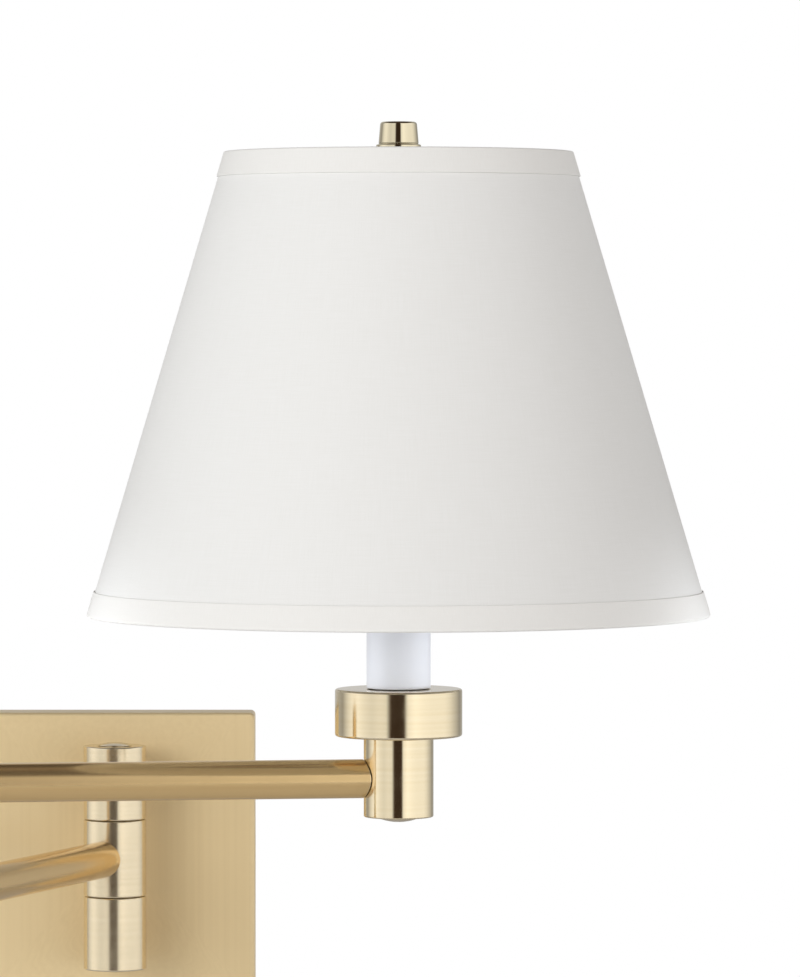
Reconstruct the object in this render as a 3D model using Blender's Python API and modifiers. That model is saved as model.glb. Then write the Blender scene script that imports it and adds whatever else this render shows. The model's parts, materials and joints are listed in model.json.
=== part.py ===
"""Swing arm wall sconce with a hardback empire shade, modelled piece by piece.

Metres, +Z up. The origin is the centre of the wall bracket's back face, on the wall plane y = 0, and the
lamp stands out from the wall towards -Y. Two equal arms swing on upright axes: the inner one on the wall
post, the outer one on the elbow, and the outer one carries the lamp holder and the shade.
"""

import math

import bmesh
import bpy
from mathutils import Matrix, Vector

# Fits and fineness
GAP = 0.0003
WELD = 0.00001
STEPS = 24
SMALL_STEPS = 10
SHADE_STEPS = 48
CUP_STEPS = 32
RING_SIDES = 6
BULB_CHORDS = 8
ARC_CHORDS = 2
SHARP_ANGLE = math.radians(32)
OVERSHOOT = 0.004

# Backplate and wall bracket
PLATE_WIDTH = 0.148
PLATE_HEIGHT = 0.151
PLATE_DEPTH = 0.025
PLATE_WALL = 0.0015
PLATE_ROUNDING = 0.0022
BRACKET_WIDTH = 0.060
BRACKET_HEIGHT = 0.140
BRACKET_THICK = 0.002
BRACKET_LIP = 0.014
BOX_SCREW_SPACING = 0.084
SLOT_WIDTH = 0.0055
SLOT_HEIGHT = 0.020
LEAD_HOLE_RADIUS = 0.007
LEAD_HOLE_X = -0.018
GROUND_SCREW_X = 0.018
LOCK_SCREW_X = 0.020
LOCK_SCREW_Y = -0.009
SCREW_RADIUS = 0.0018
LOCK_HEAD_RADIUS = 0.004
LOCK_HEAD_HEIGHT = 0.0028
GROUND_HEAD_RADIUS = 0.0045
GROUND_HEAD_HEIGHT = 0.0022

# Post on the backplate
POST_Y = -0.052
POST_RADIUS = 0.0168
POST_HALF_HEIGHT = 0.0598
SLEEVE_HALF_HEIGHT = 0.0204
STEM_Z = 0.040
STEM_RADIUS = 0.006
STEM_BORE = 0.004
STEM_HOLE = STEM_RADIUS + 2 * GAP
STEM_NUT_RADIUS = 0.0100
STEM_REACH = 0.0185
CAP_RADIUS = 0.0092
CAP_RISE = 0.0014
CAP_PLUG_RADIUS = 0.0060
CAP_PLUG_DEPTH = 0.0025

# Barrels: the round knuckles on the arms' axes
BARREL_RADIUS = 0.0175
BARREL_WALL = 0.003
BARREL_SKIN = 0.0035
BARREL_ROUNDING = 0.0007
ELBOW_HALF_HEIGHT = 0.0215
COLLAR_RADIUS = 0.013
NIPPLE_RADIUS = 0.005
NIPPLE_BORE = 0.0034
NIPPLE_HOLE = NIPPLE_RADIUS + GAP
NIPPLE_OVERRUN = 0.001
NUT_RADIUS = 0.0078
NUT_HEIGHT = 0.003

# Arms
TUBE_RADIUS = 0.00975
TUBE_WALL = 0.0015
INNER_ARM_Z = 0.0
OUTER_ARM_Z = 0.058
ELBOW = Vector((-0.09072, -0.27959))
HUB = Vector((0.1519, -0.24549))
POST = Vector((0.0, POST_Y))
WIRE_HOLE_RADIUS = 0.0045
LEAD_RADIUS = 0.0015
MEET_AT_POST = 0.010
MEET_AT_ELBOW = 0.0505
LEAD_SHARES = (0.06, 0.3, 0.5, 0.7, 0.94)
LEAD_RISE = (0.0695, 0.1005, 0.1355, 0.1695)

# Lamp holder
HUB_BOTTOM = 0.03875
HUB_TOP = 0.07875
HUB_CAP_RADIUS = 0.01075
HUB_CAP_RISE = 0.00215
CUP_RADIUS = 0.0319
CUP_BOTTOM = 0.07925
CUP_TOP = 0.103
CUP_ROUNDING = 0.0011
CANDLE_RADIUS = 0.01607
CANDLE_WALL = 0.0014
CANDLE_TOP = 0.153
DISC_THICK = 0.0015
SADDLE_Z = 0.1551
SADDLE_THICK = 0.0012
SADDLE_HALF_DEPTH = 0.002
SADDLE_EYE_RADIUS = 0.0085
PRONG_TOP = 0.1715
PIPE_BOTTOM = 0.0665
PIPE_TOP = 0.1635
SOCKET_BOTTOM = 0.1566
SOCKET_SEAM = 0.172
SOCKET_TOP = 0.212
SOCKET_RADIUS = 0.0172
SOCKET_WALL = 0.0012
KEY_Z = 0.182
KEY_STEM_RADIUS = 0.0016
BULB_RADIUS = 0.030
BULB_CENTRE_Z = 0.2715
BULB_BASE_RADIUS = 0.0132
BULB_BASE_BOTTOM = 0.1935
BULB_BASE_TOP = 0.2235
BULB_BASE_TAPER = 0.006
BULB_CONTACT_RADIUS = 0.005
BULB_CONTACT_RISE = 0.001
BULB_NECK_RADIUS = 0.0165
BULB_NECK_Z = 0.2375
BULB_ARC_END = math.radians(128)

# Harp
HARP_WIRE = 0.0018
HARP_LEG_X = 0.024
HARP_TOP_Z = 0.3555
HARP_ROUTE = (
    (HARP_LEG_X, PRONG_TOP + GAP),
    (HARP_LEG_X, 0.1855),
    (HARP_LEG_X, 0.1995),
    (0.030, 0.2135),
    (0.045, 0.2335),
    (0.056, 0.2615),
    (0.053, 0.2955),
    (0.041, 0.3265),
    (0.022, 0.3475),
    (0.008, 0.3549),
)
FERRULE_RADIUS = 0.0034
FERRULE_BORE = 0.0024
FERRULE_BOTTOM = 0.166
FERRULE_HEIGHT = 0.014
EDGE_ROUNDING = 0.0005
STUD_FLANGE_RADIUS = 0.008
STUD_FLANGE_TOP = 0.3595
STUD_RADIUS = 0.0029
STUD_TOP = 0.3775

# Shade and finial
SHADE_BOTTOM = 0.1395
SHADE_TOP = 0.3715
SHADE_BOTTOM_RADIUS = 0.15625
SHADE_TOP_RADIUS = 0.08725
TRIM_HEIGHT = 0.0125
TRIM_THICK = 0.0006
FABRIC_THICK = 0.0006
LINER_THICK = 0.0008
RING_WIRE = 0.0016
RING_INSET = 0.0050
TOP_RING_Z = 0.368
BOTTOM_RING_Z = 0.1435
SPIDER_ARMS = 3
SPIDER_WASHER_BOTTOM = STUD_FLANGE_TOP + GAP
SPIDER_WASHER_TOP = 0.3614
SPIDER_WASHER_RADIUS = 0.014
FINIAL_BOTTOM = SPIDER_WASHER_TOP + GAP
FINIAL_TOP = 0.3864
FINIAL_BORE_TOP = 0.379
FINIAL_TOP_RADIUS = 0.00875
FINIAL_TOP_ROUNDING = 0.0022
FINIAL_SIDE_RADIUS = 0.0100
FINIAL_COVE = 0.0008
FINIAL_FLANGE_RADIUS = 0.01125
FINIAL_FLANGE_TOP = 0.3739
FINIAL_FLANGE_BOTTOM = 0.3719
FINIAL_FLANGE_ROUNDING = 0.0004
FINIAL_UNDERCUT = 0.0014
FINIAL_NECK_RADIUS = 0.0070

PARTS = "swing_arm_wall_sconce"
CUTTERS = "cutters"

MATERIALS = {
    "satin_brass": ((0.62, 0.44, 0.21, 1.0), 0.30, 1.0),
    "polished_brass": ((0.80, 0.70, 0.45, 1.0), 0.08, 1.0),
    "zinc_steel": ((0.55, 0.56, 0.58, 1.0), 0.42, 1.0),
    "ground_green": ((0.05, 0.30, 0.12, 1.0), 0.45, 0.6),
    "candle_white": ((0.83, 0.84, 0.87, 1.0), 0.45, 0.0),
    "phenolic_black": ((0.03, 0.03, 0.03, 1.0), 0.50, 0.0),
    "frosted_glass": ((0.92, 0.92, 0.90, 1.0), 0.35, 0.0),
    "shade_linen": ((0.86, 0.86, 0.84, 1.0), 0.90, 0.0),
    "shade_styrene": ((0.90, 0.90, 0.88, 1.0), 0.50, 0.0),
    "lead_grey": ((0.70, 0.70, 0.68, 1.0), 0.55, 0.0),
}


def clear_scene():
    """Remove the objects of the scene that the script starts in."""
    for piece in list(bpy.data.objects):
        bpy.data.objects.remove(piece, do_unlink=True)


def collection(name):
    """The collection of this name, linked to the scene."""
    found = bpy.data.collections.get(name)
    if found is None:
        found = bpy.data.collections.new(name)
        bpy.context.scene.collection.children.link(found)
    return found


def material(name):
    """The Principled material of this name."""
    found = bpy.data.materials.get(name)
    if found is None:
        colour, roughness, metallic = MATERIALS[name]
        found = bpy.data.materials.new(name)
        found.use_nodes = True
        shader = found.node_tree.nodes["Principled BSDF"]
        shader.inputs["Base Color"].default_value = colour
        shader.inputs["Roughness"].default_value = roughness
        shader.inputs["Metallic"].default_value = metallic
    return found


def add(name, data, finish):
    """A new object in the parts collection with one material."""
    piece = bpy.data.objects.new(name, data)
    data.materials.append(material(finish))
    collection(PARTS).objects.link(piece)
    return piece


def as_cutter(piece):
    """Move a piece to the cutters, where it is only a guide."""
    collection(PARTS).objects.unlink(piece)
    collection(CUTTERS).objects.link(piece)
    piece.hide_render = True
    piece.display_type = "WIRE"
    return piece


def rounded(corners, closed):
    """An outline whose corners (radius, height, rounding) are turned into short arcs."""
    points = []
    count = len(corners)
    for index, corner in enumerate(corners):
        here = Vector(corner[:2])
        rounding = corner[2] if len(corner) > 2 else 0.0
        at_an_end = not closed and index in (0, count - 1)
        if rounding == 0.0 or at_an_end:
            points.append(tuple(here))
            continue
        before = (Vector(corners[index - 1][:2]) - here).normalized()
        after = (Vector(corners[(index + 1) % count][:2]) - here).normalized()
        half = before.angle(after) / 2
        centre = here + (before + after).normalized() * (rounding / math.sin(half))
        start = here + before * (rounding / math.tan(half)) - centre
        turn = start.angle_signed(here + after * (rounding / math.tan(half)) - centre)
        for step in range(ARC_CHORDS + 1):
            angle = -turn * step / ARC_CHORDS
            arm = Matrix.Rotation(angle, 2) @ start
            points.append(tuple(centre + arm))
    return points


def turned(name, corners, finish, at=(0.0, 0.0), ring=False, steps=STEPS):
    """A turned piece. Its outline runs down the outer side, and a ring's closes up its bore."""
    outline = rounded(corners, ring)
    edges = [(index, index + 1) for index in range(len(outline) - 1)]
    if ring:
        edges.append((len(outline) - 1, 0))
    mesh = bpy.data.meshes.new(name)
    mesh.from_pydata([(radius, 0.0, height) for radius, height in outline], edges, [])
    piece = add(name, mesh, finish)
    piece.location = (at[0], at[1], 0.0)
    screw = piece.modifiers.new("Turn", "SCREW")
    screw.steps = steps
    screw.render_steps = steps
    screw.use_merge_vertices = True
    screw.merge_threshold = WELD
    return piece


def ring_corners(radius, bore, bottom, top, rounding=0.0):
    """The outline of a plain ring or tube."""
    return [
        (bore, top),
        (radius, top, rounding),
        (radius, bottom, rounding),
        (bore, bottom),
    ]


def box(name, low, high, finish):
    """A block between two corners."""
    mesh = bpy.data.meshes.new(name)
    form = bmesh.new()
    bmesh.ops.create_cube(form, size=1.0)
    size = Vector(high) - Vector(low)
    middle = (Vector(high) + Vector(low)) / 2
    place = Matrix.Translation(middle) @ Matrix.Diagonal((*size, 1.0))
    bmesh.ops.transform(form, matrix=place, verts=form.verts)
    form.to_mesh(mesh)
    form.free()
    return add(name, mesh, finish)


def rod(name, start, end, radius, finish, steps=STEPS):
    """A plain cylinder between two points."""
    start = Vector(start)
    along = Vector(end) - start
    length = along.length
    corners = [(0.0, length), (radius, length), (radius, 0.0), (0.0, 0.0)]
    piece = turned(name, corners, finish, steps=steps)
    piece.matrix_world = Matrix.Translation(start) @ along.to_track_quat("Z", "Y").to_matrix().to_4x4()
    return piece


def meshed(curve_piece, finish):
    """The curve object made into a mesh object with its caps welded."""
    bpy.context.view_layer.update()
    graph = bpy.context.evaluated_depsgraph_get()
    mesh = bpy.data.meshes.new_from_object(curve_piece.evaluated_get(graph))
    form = bmesh.new()
    form.from_mesh(mesh)
    bmesh.ops.remove_doubles(form, verts=form.verts, dist=WELD)
    bmesh.ops.recalc_face_normals(form, faces=form.faces)
    form.to_mesh(mesh)
    form.free()
    mesh.materials.clear()
    name = curve_piece.name
    place = curve_piece.matrix_world.copy()
    bpy.data.objects.remove(curve_piece, do_unlink=True)
    piece = add(name, mesh, finish)
    piece.name = name
    piece.matrix_world = place
    return piece


def wire(name, points, radius, finish):
    """A round wire through these points, with filled ends."""
    curve = bpy.data.curves.new(name, "CURVE")
    curve.dimensions = "3D"
    curve.bevel_depth = radius
    curve.bevel_resolution = 2
    curve.use_fill_caps = True
    spline = curve.splines.new("POLY")
    spline.points.add(len(points) - 1)
    for place, point in zip(spline.points, points):
        place.co = (*point, 1.0)
    return meshed(add(name, curve, finish), finish)


def slab(name, outline, half_thickness, finish):
    """A flat outline in X and Y, thickened both ways along Z."""
    curve = bpy.data.curves.new(name, "CURVE")
    curve.dimensions = "2D"
    curve.fill_mode = "BOTH"
    curve.extrude = half_thickness
    spline = curve.splines.new("POLY")
    spline.points.add(len(outline) - 1)
    for place, point in zip(spline.points, outline):
        place.co = (point[0], point[1], 0.0, 1.0)
    spline.use_cyclic_u = True
    return meshed(add(name, curve, finish), finish)


def smooth_path(route, per_span=2):
    """Points along a smooth curve (Catmull-Rom) through the route's own points."""
    route = [Vector(point) for point in route]
    padded = [route[0] * 2 - route[1], *route, route[-1] * 2 - route[-2]]
    points = []
    for p0, p1, p2, p3 in zip(padded, padded[1:], padded[2:], padded[3:]):
        for step in range(per_span):
            t = step / per_span
            bend = 2 * p0 - 5 * p1 + 4 * p2 - p3
            twist = 3 * p1 - p0 - 3 * p2 + p3
            points.append(0.5 * (2 * p1 + (p2 - p0) * t + bend * t**2 + twist * t**3))
    points.append(route[-1])
    return points


def combine(piece, other, operation):
    """Cut the other piece out of this one, or join it on."""
    step = piece.modifiers.new(operation.title(), "BOOLEAN")
    step.operation = operation
    step.object = as_cutter(other)
    step.solver = "EXACT"
    return piece


def cut(piece, other):
    return combine(piece, other, "DIFFERENCE")


def join(piece, other):
    return combine(piece, other, "UNION")


def flat_to(point, height):
    """A plan position lifted to this height."""
    return Vector((point[0], point[1], height))


def arm_direction(start, end):
    """The level unit vector from one upright axis to another."""
    return (end - start).normalized()


# --- Wall bracket and backplate -----------------------------------------------------------------


def build_bracket():
    """A channel-shaped steel strap: its lips take the lock screws, and its slots the box screws."""
    half = BRACKET_HEIGHT / 2
    profile = [
        (0.0, -half),
        (0.0, half),
        (-BRACKET_LIP, half),
        (-BRACKET_LIP, half - BRACKET_THICK),
        (-BRACKET_THICK, half - BRACKET_THICK),
        (-BRACKET_THICK, -half + BRACKET_THICK),
        (-BRACKET_LIP, -half + BRACKET_THICK),
        (-BRACKET_LIP, -half),
    ]
    bracket = slab("wall_bracket", profile, BRACKET_WIDTH / 2, "zinc_steel")
    # The outline's X and Y stand for depth and height, and its thickness runs across the wall.
    bracket.matrix_world = Matrix(((0, 0, 1, 0), (1, 0, 0, 0), (0, 1, 0, 0), (0, 0, 0, 1)))
    for side in (-1, 1):
        middle = side * BOX_SCREW_SPACING / 2
        low = (-SLOT_WIDTH / 2, -BRACKET_THICK - OVERSHOOT, middle - SLOT_HEIGHT / 2)
        high = (SLOT_WIDTH / 2, OVERSHOOT, middle + SLOT_HEIGHT / 2)
        cut(bracket, box("box_screw_slot", low, high, "zinc_steel"))
        hole_x = side * LOCK_SCREW_X
        low_end = (hole_x, LOCK_SCREW_Y, -half - OVERSHOOT)
        high_end = (hole_x, LOCK_SCREW_Y, -half + BRACKET_THICK + OVERSHOOT)
        cut(bracket, rod("lock_hole", low_end, high_end, SCREW_RADIUS + GAP, "zinc_steel", SMALL_STEPS))
    for hole_x, radius in ((LEAD_HOLE_X, LEAD_HOLE_RADIUS), (GROUND_SCREW_X, SCREW_RADIUS + GAP)):
        front = (hole_x, -BRACKET_THICK - OVERSHOOT, 0.0)
        back = (hole_x, OVERSHOOT, 0.0)
        cut(bracket, rod("bracket_hole", front, back, radius, "zinc_steel", SMALL_STEPS))


def pan_head(name, tip, head, finish, head_radius, head_height):
    """A screw from its tip to the underside of its head, which lies beyond."""
    tip = Vector(tip)
    along = Vector(head) - tip
    length = along.length
    corners = [
        (0.0, length + head_height),
        (head_radius, length + head_height, head_height / 3),
        (head_radius, length),
        (SCREW_RADIUS, length),
        (SCREW_RADIUS, 0.0),
        (0.0, 0.0),
    ]
    screw = turned(name, corners, finish, steps=SMALL_STEPS)
    screw.matrix_world = Matrix.Translation(tip) @ along.to_track_quat("Z", "Y").to_matrix().to_4x4()


def build_backplate():
    """A square pan with rounded front edges, drilled for the stems and the lock screws."""
    half_width = PLATE_WIDTH / 2
    half_height = PLATE_HEIGHT / 2
    front_corner = (-half_width, -PLATE_DEPTH, -half_height)
    wall_corner = (half_width, 0.0, half_height)
    plate = box("backplate", front_corner, wall_corner, "satin_brass")
    form = bmesh.new()
    form.from_mesh(plate.data)
    edges = [edge for edge in form.edges if min(vert.co.y for vert in edge.verts) < -PLATE_DEPTH / 2]
    bmesh.ops.bevel(form, geom=edges, offset=PLATE_ROUNDING, segments=ARC_CHORDS, profile=0.5, affect="EDGES")
    form.to_mesh(plate.data)
    form.free()
    low = (-half_width + PLATE_WALL, -PLATE_DEPTH + PLATE_WALL, -half_height + PLATE_WALL)
    high = (half_width - PLATE_WALL, OVERSHOOT, half_height - PLATE_WALL)
    cut(plate, box("pan_hollow", low, high, "satin_brass"))
    for side in (-1, 1):
        front = (0.0, -PLATE_DEPTH - OVERSHOOT, side * STEM_Z)
        back = (0.0, -PLATE_DEPTH + PLATE_WALL + OVERSHOOT, side * STEM_Z)
        cut(plate, rod("stem_hole", front, back, STEM_HOLE, "satin_brass", SMALL_STEPS))
        low_end = (side * LOCK_SCREW_X, LOCK_SCREW_Y, -half_height - OVERSHOOT)
        high_end = (side * LOCK_SCREW_X, LOCK_SCREW_Y, -half_height + PLATE_WALL + OVERSHOOT / 2)
        cut(plate, rod("lock_hole", low_end, high_end, SCREW_RADIUS + GAP, "satin_brass", SMALL_STEPS))


def build_wall_screws():
    """The lock screws in the plate's lower edge and the green ground screw on the bracket."""
    for side, word in ((-1, "left"), (1, "right")):
        x = side * LOCK_SCREW_X
        tip = (x, LOCK_SCREW_Y, -BRACKET_HEIGHT / 2 + BRACKET_THICK + OVERSHOOT / 2)
        under_head = (x, LOCK_SCREW_Y, -PLATE_HEIGHT / 2 - GAP)
        pan_head(f"lock_screw_{word}", tip, under_head, "satin_brass", LOCK_HEAD_RADIUS, LOCK_HEAD_HEIGHT)
    tip = (GROUND_SCREW_X, -GAP, 0.0)
    under_head = (GROUND_SCREW_X, -BRACKET_THICK - GAP, 0.0)
    pan_head("ground_screw", tip, under_head, "ground_green", GROUND_HEAD_RADIUS, GROUND_HEAD_HEIGHT)


# --- Barrels, caps, nipples and nuts ------------------------------------------------------------


def barrel(name, at, bottom, top, radius, low_hole, high_hole, finish="satin_brass"):
    """A hollow round knuckle with an end wall at each end, each with a hole on the axis."""
    cavity = radius - BARREL_SKIN
    corners = [
        (high_hole, top),
        (radius, top, BARREL_ROUNDING),
        (radius, bottom, BARREL_ROUNDING),
        (low_hole, bottom),
        (low_hole, bottom + BARREL_WALL),
        (cavity, bottom + BARREL_WALL),
        (cavity, top - BARREL_WALL),
        (high_hole, top - BARREL_WALL),
    ]
    return turned(name, corners, finish, at, ring=True)


def side_hole(piece, at, direction, height, radius):
    """Drill from a barrel's axis out through its side."""
    start = flat_to(at, height)
    end = flat_to(at + direction * (BARREL_RADIUS + OVERSHOOT), height)
    cut(piece, rod("side_hole", start, end, radius, "satin_brass", SMALL_STEPS))


def cap(name, at, seat, radius, rise, downwards=False):
    """A domed end cap on a plug. It sits on its barrel's end, and hangs from it when it points down."""
    sphere = (radius**2 + rise**2) / (2 * rise)
    rim = math.asin(radius / sphere)
    dome = []
    for step in range(ARC_CHORDS + 2):
        angle = rim * step / (ARC_CHORDS + 1)
        dome.append((sphere * math.sin(angle), rise - sphere * (1 - math.cos(angle)) + GAP))
    dome[0] = (0.0, rise + GAP)
    edge = 0.0002
    lifted = [(x, z + edge) for x, z in dome]
    plug = [
        (radius, GAP),
        (CAP_PLUG_RADIUS, GAP),
        (CAP_PLUG_RADIUS, -CAP_PLUG_DEPTH),
        (0.0, -CAP_PLUG_DEPTH),
    ]
    piece = turned(name, lifted + plug, "satin_brass")
    turn = Matrix.Rotation(math.pi, 4, "X") if downwards else Matrix.Identity(4)
    piece.matrix_world = Matrix.Translation(flat_to(at, seat)) @ turn


def nipple(name, at, bottom, top):
    """A hollow threaded pipe on an axis."""
    corners = ring_corners(NIPPLE_RADIUS, NIPPLE_BORE, bottom, top)
    turned(name, corners, "zinc_steel", at, ring=True, steps=SMALL_STEPS)


def nut(name, at, bottom):
    """A six-sided lock nut around a nipple."""
    corners = ring_corners(NUT_RADIUS, NIPPLE_HOLE, bottom, bottom + NUT_HEIGHT)
    blank = turned(name, corners, "zinc_steel", at, ring=True, steps=SMALL_STEPS)
    across_flats = NUT_RADIUS * math.cos(math.pi / 6)
    for side in range(6):
        angle = side * math.pi / 3
        outward = Vector((math.cos(angle), math.sin(angle)))
        slice_low = (-NUT_RADIUS, across_flats, bottom - NUT_HEIGHT)
        slice_high = (NUT_RADIUS, NUT_RADIUS + OVERSHOOT, bottom + 2 * NUT_HEIGHT)
        slice_off = box("nut_flat", slice_low, slice_high, "zinc_steel")
        facing = Matrix.Rotation(math.atan2(outward.y, outward.x) - math.pi / 2, 4, "Z")
        slice_off.matrix_world = Matrix.Translation(flat_to(at, 0.0)) @ facing
        cut(blank, slice_off)


# --- Post ---------------------------------------------------------------------------------------


def build_post():
    """Two fixed blocks on stems from the plate, with the inner arm's sleeve turning between them."""
    out = Vector((0.0, 1.0))
    split = SLEEVE_HALF_HEIGHT + GAP
    cap_hole = CAP_PLUG_RADIUS + GAP
    upper = barrel("post_block_upper", POST, split, POST_HALF_HEIGHT, POST_RADIUS, NIPPLE_HOLE, cap_hole)
    lower = barrel("post_block_lower", POST, -POST_HALF_HEIGHT, -split, POST_RADIUS, cap_hole, NIPPLE_HOLE)
    cap("post_cap_top", POST, POST_HALF_HEIGHT, CAP_RADIUS, CAP_RISE)
    cap("post_cap_bottom", POST, -POST_HALF_HEIGHT, CAP_RADIUS, CAP_RISE, downwards=True)
    cavity_end = SLEEVE_HALF_HEIGHT - BARREL_WALL
    for side, word, block in ((1, "upper", upper), (-1, "lower", lower)):
        side_hole(block, POST, out, side * STEM_Z, STEM_HOLE)
        reach = POST_Y + POST_RADIUS - BARREL_SKIN
        stem = turned(
            f"stem_{word}",
            ring_corners(STEM_RADIUS, STEM_BORE, 0.0, -reach - STEM_REACH),
            "satin_brass",
            ring=True,
            steps=SMALL_STEPS,
        )
        from_plate = Matrix.Rotation(math.pi / 2, 4, "X")
        stem.matrix_world = Matrix.Translation((0.0, -STEM_REACH, side * STEM_Z)) @ from_plate
        stem_nut = turned(
            f"stem_nut_{word}",
            ring_corners(STEM_NUT_RADIUS, STEM_HOLE / math.cos(math.pi / 6), 0.0, NUT_HEIGHT),
            "zinc_steel",
            ring=True,
            steps=6,
        )
        behind_wall = -PLATE_DEPTH + PLATE_WALL + GAP + NUT_HEIGHT
        stem_nut.matrix_world = Matrix.Translation((0.0, behind_wall, side * STEM_Z)) @ from_plate
        nut_face = cavity_end - NUT_HEIGHT - 2 * GAP - NIPPLE_OVERRUN
        sleeve_face = split + BARREL_WALL + 4 * NIPPLE_OVERRUN
        ends = sorted((side * nut_face, side * sleeve_face))
        nipple(f"post_nipple_{word}", POST, *ends)
        nut_low = cavity_end - GAP - NUT_HEIGHT if side > 0 else -cavity_end + GAP
        nut(f"post_nut_{word}", POST, nut_low)
    sleeve = barrel(
        "post_sleeve", POST, -SLEEVE_HALF_HEIGHT, SLEEVE_HALF_HEIGHT, POST_RADIUS, NIPPLE_HOLE, NIPPLE_HOLE
    )
    side_hole(sleeve, POST, arm_direction(POST, ELBOW), INNER_ARM_Z, WIRE_HOLE_RADIUS)


# --- Arms and elbow -----------------------------------------------------------------------------


def arm_tube(name, start, start_radius, end, end_radius, height):
    """A straight tube whose ends are cut to sit against two upright barrels."""
    corners = ring_corners(TUBE_RADIUS, TUBE_RADIUS - TUBE_WALL, 0.0, (end - start).length)
    tube = turned(name, corners, "satin_brass", ring=True)
    along = flat_to(end, 0.0) - flat_to(start, 0.0)
    place = Matrix.Translation(flat_to(start, height)) @ along.to_track_quat("Z", "Y").to_matrix().to_4x4()
    tube.matrix_world = place
    for at, radius in ((start, start_radius), (end, end_radius)):
        low = flat_to(at, height - 2 * TUBE_RADIUS)
        high = flat_to(at, height + 2 * TUBE_RADIUS)
        cut(tube, rod("saddle_cut", low, high, radius + GAP, "satin_brass", 2 * STEPS))


def build_elbow():
    """Two barrels, one on each arm, on a shared nipple with a collar between them."""
    half = ELBOW_HALF_HEIGHT
    cap_hole = CAP_PLUG_RADIUS + GAP
    lower_top = INNER_ARM_Z + half
    upper_bottom = OUTER_ARM_Z - half
    lower_bottom = INNER_ARM_Z - half
    upper_top = OUTER_ARM_Z + half
    lower = barrel(
        "elbow_barrel_lower", ELBOW, lower_bottom, lower_top, BARREL_RADIUS, cap_hole, NIPPLE_HOLE
    )
    upper = barrel(
        "elbow_barrel_upper", ELBOW, upper_bottom, upper_top, BARREL_RADIUS, NIPPLE_HOLE, cap_hole
    )
    side_hole(lower, ELBOW, arm_direction(ELBOW, POST), INNER_ARM_Z, WIRE_HOLE_RADIUS)
    side_hole(upper, ELBOW, arm_direction(ELBOW, HUB), OUTER_ARM_Z, WIRE_HOLE_RADIUS)
    cap("elbow_cap_bottom", ELBOW, lower_bottom, CAP_RADIUS, CAP_RISE, downwards=True)
    cap("elbow_cap_top", ELBOW, upper_top, CAP_RADIUS, CAP_RISE)
    collar_low = lower_top + GAP
    collar_high = upper_bottom - GAP
    collar_corners = ring_corners(COLLAR_RADIUS, NIPPLE_HOLE, collar_low, collar_high, BARREL_ROUNDING)
    turned("elbow_collar", collar_corners, "satin_brass", ELBOW, ring=True)
    nut_low = lower_top - BARREL_WALL - GAP - NUT_HEIGHT
    nut_high = upper_bottom + BARREL_WALL + GAP
    nut("elbow_nut_lower", ELBOW, nut_low)
    nut("elbow_nut_upper", ELBOW, nut_high)
    nipple("elbow_nipple", ELBOW, nut_low - NIPPLE_OVERRUN, nut_high + NUT_HEIGHT + NIPPLE_OVERRUN)


# --- Lamp holder --------------------------------------------------------------------------------


def build_hub_and_cup():
    """The barrel at the outer arm's end, its cap, the round cup on it and the pipe through them."""
    hub = barrel("hub", HUB, HUB_BOTTOM, HUB_TOP, BARREL_RADIUS, CAP_PLUG_RADIUS + GAP, NIPPLE_HOLE)
    side_hole(hub, HUB, arm_direction(HUB, ELBOW), OUTER_ARM_Z, WIRE_HOLE_RADIUS)
    cap("hub_cap", HUB, HUB_BOTTOM, HUB_CAP_RADIUS, HUB_CAP_RISE, downwards=True)
    inside = CUP_RADIUS - DISC_THICK
    cup_corners = [
        (NIPPLE_HOLE, CUP_TOP),
        (CUP_RADIUS, CUP_TOP, CUP_ROUNDING),
        (CUP_RADIUS, CUP_BOTTOM, CUP_ROUNDING),
        (inside, CUP_BOTTOM),
        (inside, CUP_TOP - DISC_THICK),
        (NIPPLE_HOLE, CUP_TOP - DISC_THICK),
    ]
    turned("cup", cup_corners, "satin_brass", HUB, ring=True, steps=CUP_STEPS)
    plate_bottom = CUP_BOTTOM + GAP
    plate_corners = ring_corners(inside - GAP, NIPPLE_HOLE, plate_bottom, plate_bottom + DISC_THICK)
    turned("cup_plate", plate_corners, "satin_brass", HUB, ring=True, steps=CUP_STEPS)
    nipple("stem_pipe", HUB, PIPE_BOTTOM, PIPE_TOP)
    nut("pipe_nut", HUB, HUB_TOP - BARREL_WALL - GAP - NUT_HEIGHT)
    candle = ring_corners(CANDLE_RADIUS, CANDLE_RADIUS - CANDLE_WALL, CUP_TOP + GAP, CANDLE_TOP)
    turned("candle_sleeve", candle, "candle_white", HUB, ring=True)
    lid_bottom = CANDLE_TOP + GAP
    lid = ring_corners(CANDLE_RADIUS, NIPPLE_HOLE, lid_bottom, lid_bottom + DISC_THICK)
    turned("sleeve_cap", lid, "satin_brass", HUB, ring=True)


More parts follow.
